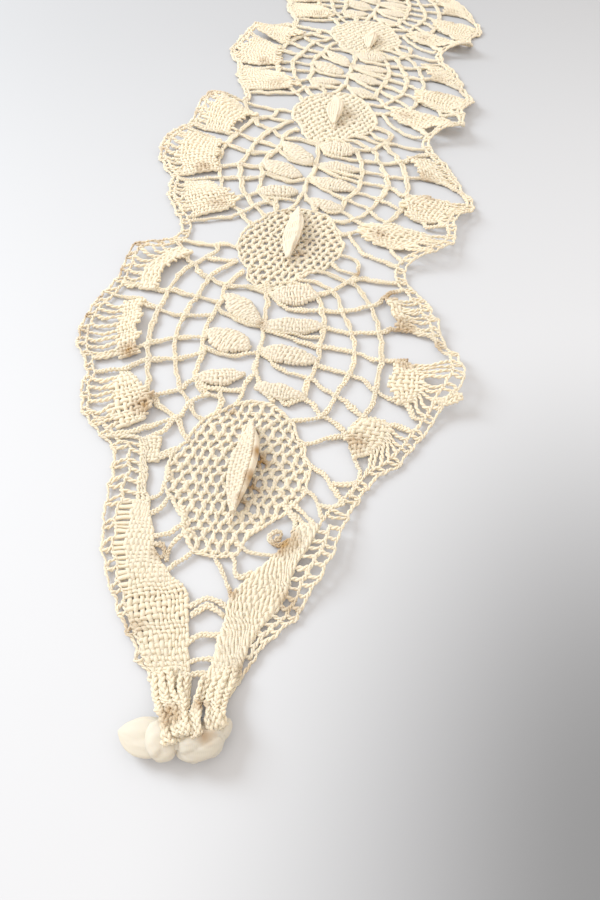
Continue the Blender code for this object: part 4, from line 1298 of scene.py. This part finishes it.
def yarn_material(name, colour, rough, bump):
    """Matt linen thread: soft colour changes, brown stains and a little painted shade, and the
    twist of the yarn.
    """
    look = Look(name, {"Roughness": rough, **SOFT_THREAD})
    spot = look.add("TexCoord", "Object", {})
    cloud = look.noise(Vector=spot, Scale=CLOUD_SCALE, Detail=CLOUD_DETAIL)
    tone = look.add("Attribute", "Fac", {}, attribute_name="tone")
    blend = look.calculate("MULTIPLY_ADD", tone, TONE_SHARE, cloud)
    dark = [DARK_THREAD * part for part in colour]
    clean = look.ramp(blend, TONE_STOPS, (dark, colour))

    # The brown mixed in below is stain, and beside the relief leaves also painted shade.
    stain_and_shade = look.add("Attribute", "Fac", {}, attribute_name="stain_and_shade")
    patchy = look.noise(Vector=spot, Scale=PATCH_SCALE)
    strength = look.calculate("MULTIPLY", stain_and_shade, patchy, clamp=True)
    paint = look.add("Mix", "Result", {"Factor": strength, "A": clean, "B": STAIN_AND_SHADE},
                     data_type="RGBA")

    wrap = look.add("UVMap", "UV", {}, uv_map="thread_run")
    along = look.add("SeparateXYZ", "X", {0: wrap})
    twist = look.calculate("MULTIPLY_ADD", along, TWIST_RATE, along.node.outputs["Y"])
    ply = look.calculate("SINE", look.calculate("MULTIPLY", twist, TWIST_PLIES))
    fuzz = look.noise(Vector=spot, Scale=FUZZ_SCALE)
    height = look.calculate("MULTIPLY_ADD", ply, PLY_HEIGHT, fuzz)
    normal = look.add("Bump", "Normal", {"Strength": bump, "Distance": BUMP_HEIGHT,
                                         "Height": height})
    look.feed(look.shader, {"Base Color": paint, "Normal": normal})

    warm = look.add("Mix", "Result", {"Factor": 1.0, "A": paint, "B": WARM_LIGHT},
                    data_type="RGBA", blend_type="MULTIPLY")
    glow = look.add("BsdfTranslucent", "BSDF", {"Color": warm, "Normal": normal})
    whole = look.add("MixShader", "Shader",
                     {"Fac": LIGHT_THROUGH, 1: look.shader.outputs["BSDF"], 2: glow})
    look.feed(look.tree.nodes["Material Output"], {"Surface": whole})
    return look.material


def floor_material():
    """A plain pale surface with the faintest mottling, and a soft shade and slow dimming painted
    into its colour.
    """
    look = Look("pale_floor", {"Roughness": FLOOR_ROUGHNESS})
    pale = look.ramp(look.noise(Scale=FLOOR_MOTTLING), (0.0, 1.0), FLOOR_COLOURS)
    spot = look.add("TexCoord", "Object", {})
    # Painted shade: a soft round patch and a slow dimming, multiplied into the floor's colour.
    round_shade = look.add("Mapping", "Vector", {
        "Vector": spot, "Location": SHADE_PLACE, "Rotation": (0.0, 0.0, SHADE_TURN),
        "Scale": SHADE_SIZE}, vector_type="TEXTURE")
    away = look.add("VectorMath", "Value", {0: round_shade}, operation="LENGTH")
    run = look.add("VectorMath", "Value", {0: spot, 1: PAINTED_DIMMING_RUN}, operation="DOT_PRODUCT")
    fades = []
    for source, limits in ((away, SHADE_RANGE), (run, PAINTED_DIMMING_RANGE)):
        inputs = dict(zip(("From Min", "From Max", "To Min", "To Max"), limits), Value=source)
        fades.append(look.add("MapRange", "Result", inputs, interpolation_type="SMOOTHSTEP"))
    dimmed = look.add("VectorMath", "Vector",
                      {0: pale, "Scale": look.calculate("MULTIPLY", *fades)}, operation="SCALE")
    look.feed(look.shader, {"Base Color": dimmed})
    return look.material


# ================================================================ floor, light, camera
FLOOR_SIZE = 4.0
FLOOR_PLACE = (0.0, 0.0, -0.0002)
ROOM_LIGHT = 1.385
ROOM_COLOUR = (1.0, 0.945, 0.885, 1.0)          # warm, so that the shadows are
# Columns: name, place m, size m, power W, colour
LAMPS = (
    ("window_light", (-0.60, 0.10, 0.42), 0.36, 8.7, (0.84, 0.93, 1.0)),
)
LAMP_AIM = (0.0, -0.05, 0.0)
PICTURE_GAMMA = 1.4       # lifts the middle tones
# The camera's height and tilt follow from the foreshortening of the repeats in the photo
CAMERA_PLACE = (0.02988, -0.21674, 0.11557)
CAMERA_TILT = 38.403      # degrees from straight down
CAMERA_TURN = 9.5
CAMERA_LENS = 26.0
CAMERA_SENSOR = 36.0
CAMERA_RANGE = (0.005, 20.0)


def make_stage():
    """Floor, soft lights and the camera at the photograph's angle."""
    scene = bpy.context.scene
    bpy.ops.mesh.primitive_plane_add(size=FLOOR_SIZE, location=FLOOR_PLACE)
    floor = bpy.context.object
    floor.name = "floor"
    floor.data.materials.append(floor_material())
    for name, spot, size, power, colour in LAMPS:
        lamp = bpy.data.lights.new(name, "AREA")
        lamp.size = size
        lamp.energy = power
        lamp.color = colour
        holder = bpy.data.objects.new(name, lamp)
        holder.location = spot
        holder.rotation_mode = "QUATERNION"
        holder.rotation_quaternion = (Vector(LAMP_AIM) - Vector(spot)).to_track_quat("-Z", "Y")
        scene.collection.objects.link(holder)
    scene.world = scene.world or bpy.data.worlds.new("soft_room")
    scene.world.use_nodes = True
    back = scene.world.node_tree.nodes.get("Background")
    back.inputs["Color"].default_value = ROOM_COLOUR
    back.inputs["Strength"].default_value = ROOM_LIGHT
    scene.view_settings.view_transform = "Standard"
    scene.view_settings.gamma = PICTURE_GAMMA
    camera = bpy.data.objects.new("camera", bpy.data.cameras.new("camera"))
    camera.location = CAMERA_PLACE
    camera.rotation_euler = (math.radians(CAMERA_TILT), 0.0, math.radians(CAMERA_TURN))
    camera.data.lens = CAMERA_LENS
    camera.data.sensor_width = CAMERA_SENSOR
    camera.data.clip_start, camera.data.clip_end = CAMERA_RANGE
    scene.collection.objects.link(camera)
    scene.camera = camera


def main():
    """Weave every part and dress the stage."""
    linen = yarn_material(*LINEN)
    pale = yarn_material(*PALE_LINEN)
    pieces = []
    edging = Yarn()
    edges = weave_edges(edging)
    pieces.append(edging.mesh("edging", linen, "lace_thread"))
    for wheel in range(WHEEL_COUNT):
        plaits = Yarn()
        weave_wheel(plaits, wheel, edges)
        pieces.append(plaits.mesh("wheel_plaits_%d" % (wheel + 1), linen, "lace_thread"))
        net = Yarn()
        weave_net(net, wheel)
        pieces.append(net.mesh("diamond_net_%d" % (wheel + 1), linen, "lace_thread"))
    patches = Yarn()
    weave_fans(patches, edges)
    weave_end(patches)
    cloth = patches.mesh("cloth_patches", linen, "lace_thread")
    tapes = Yarn()
    weave_tapes(tapes, edges)
    pieces.append(tapes.mesh("tapes", linen, "lace_thread"))
    leaves = Yarn()
    weave_leaves(leaves)
    pieces.append(leaves.mesh("wheel_leaves", pale, "lace_thread"))
    for piece in (cloth, *pieces):
        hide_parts("lace_strip")
    for number, row in enumerate(RELIEF_LEAVES, start=1):
        relief = Yarn()
        weave_relief(relief, row)
        piece = relief.mesh("woven_relief_leaf_%d" % number, pale, "leaf_thread", even=True)
        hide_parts("relief_leaf_%d" % number)
        pieces.append(piece)
    knot = Yarn()
    tie_knot(knot)
    piece = knot.mesh("tied_knot", yarn_material(*RIBBON), "lace_thread", even=True)
    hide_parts("end_knot")
    pieces.append(piece)
    make_stage()


main()
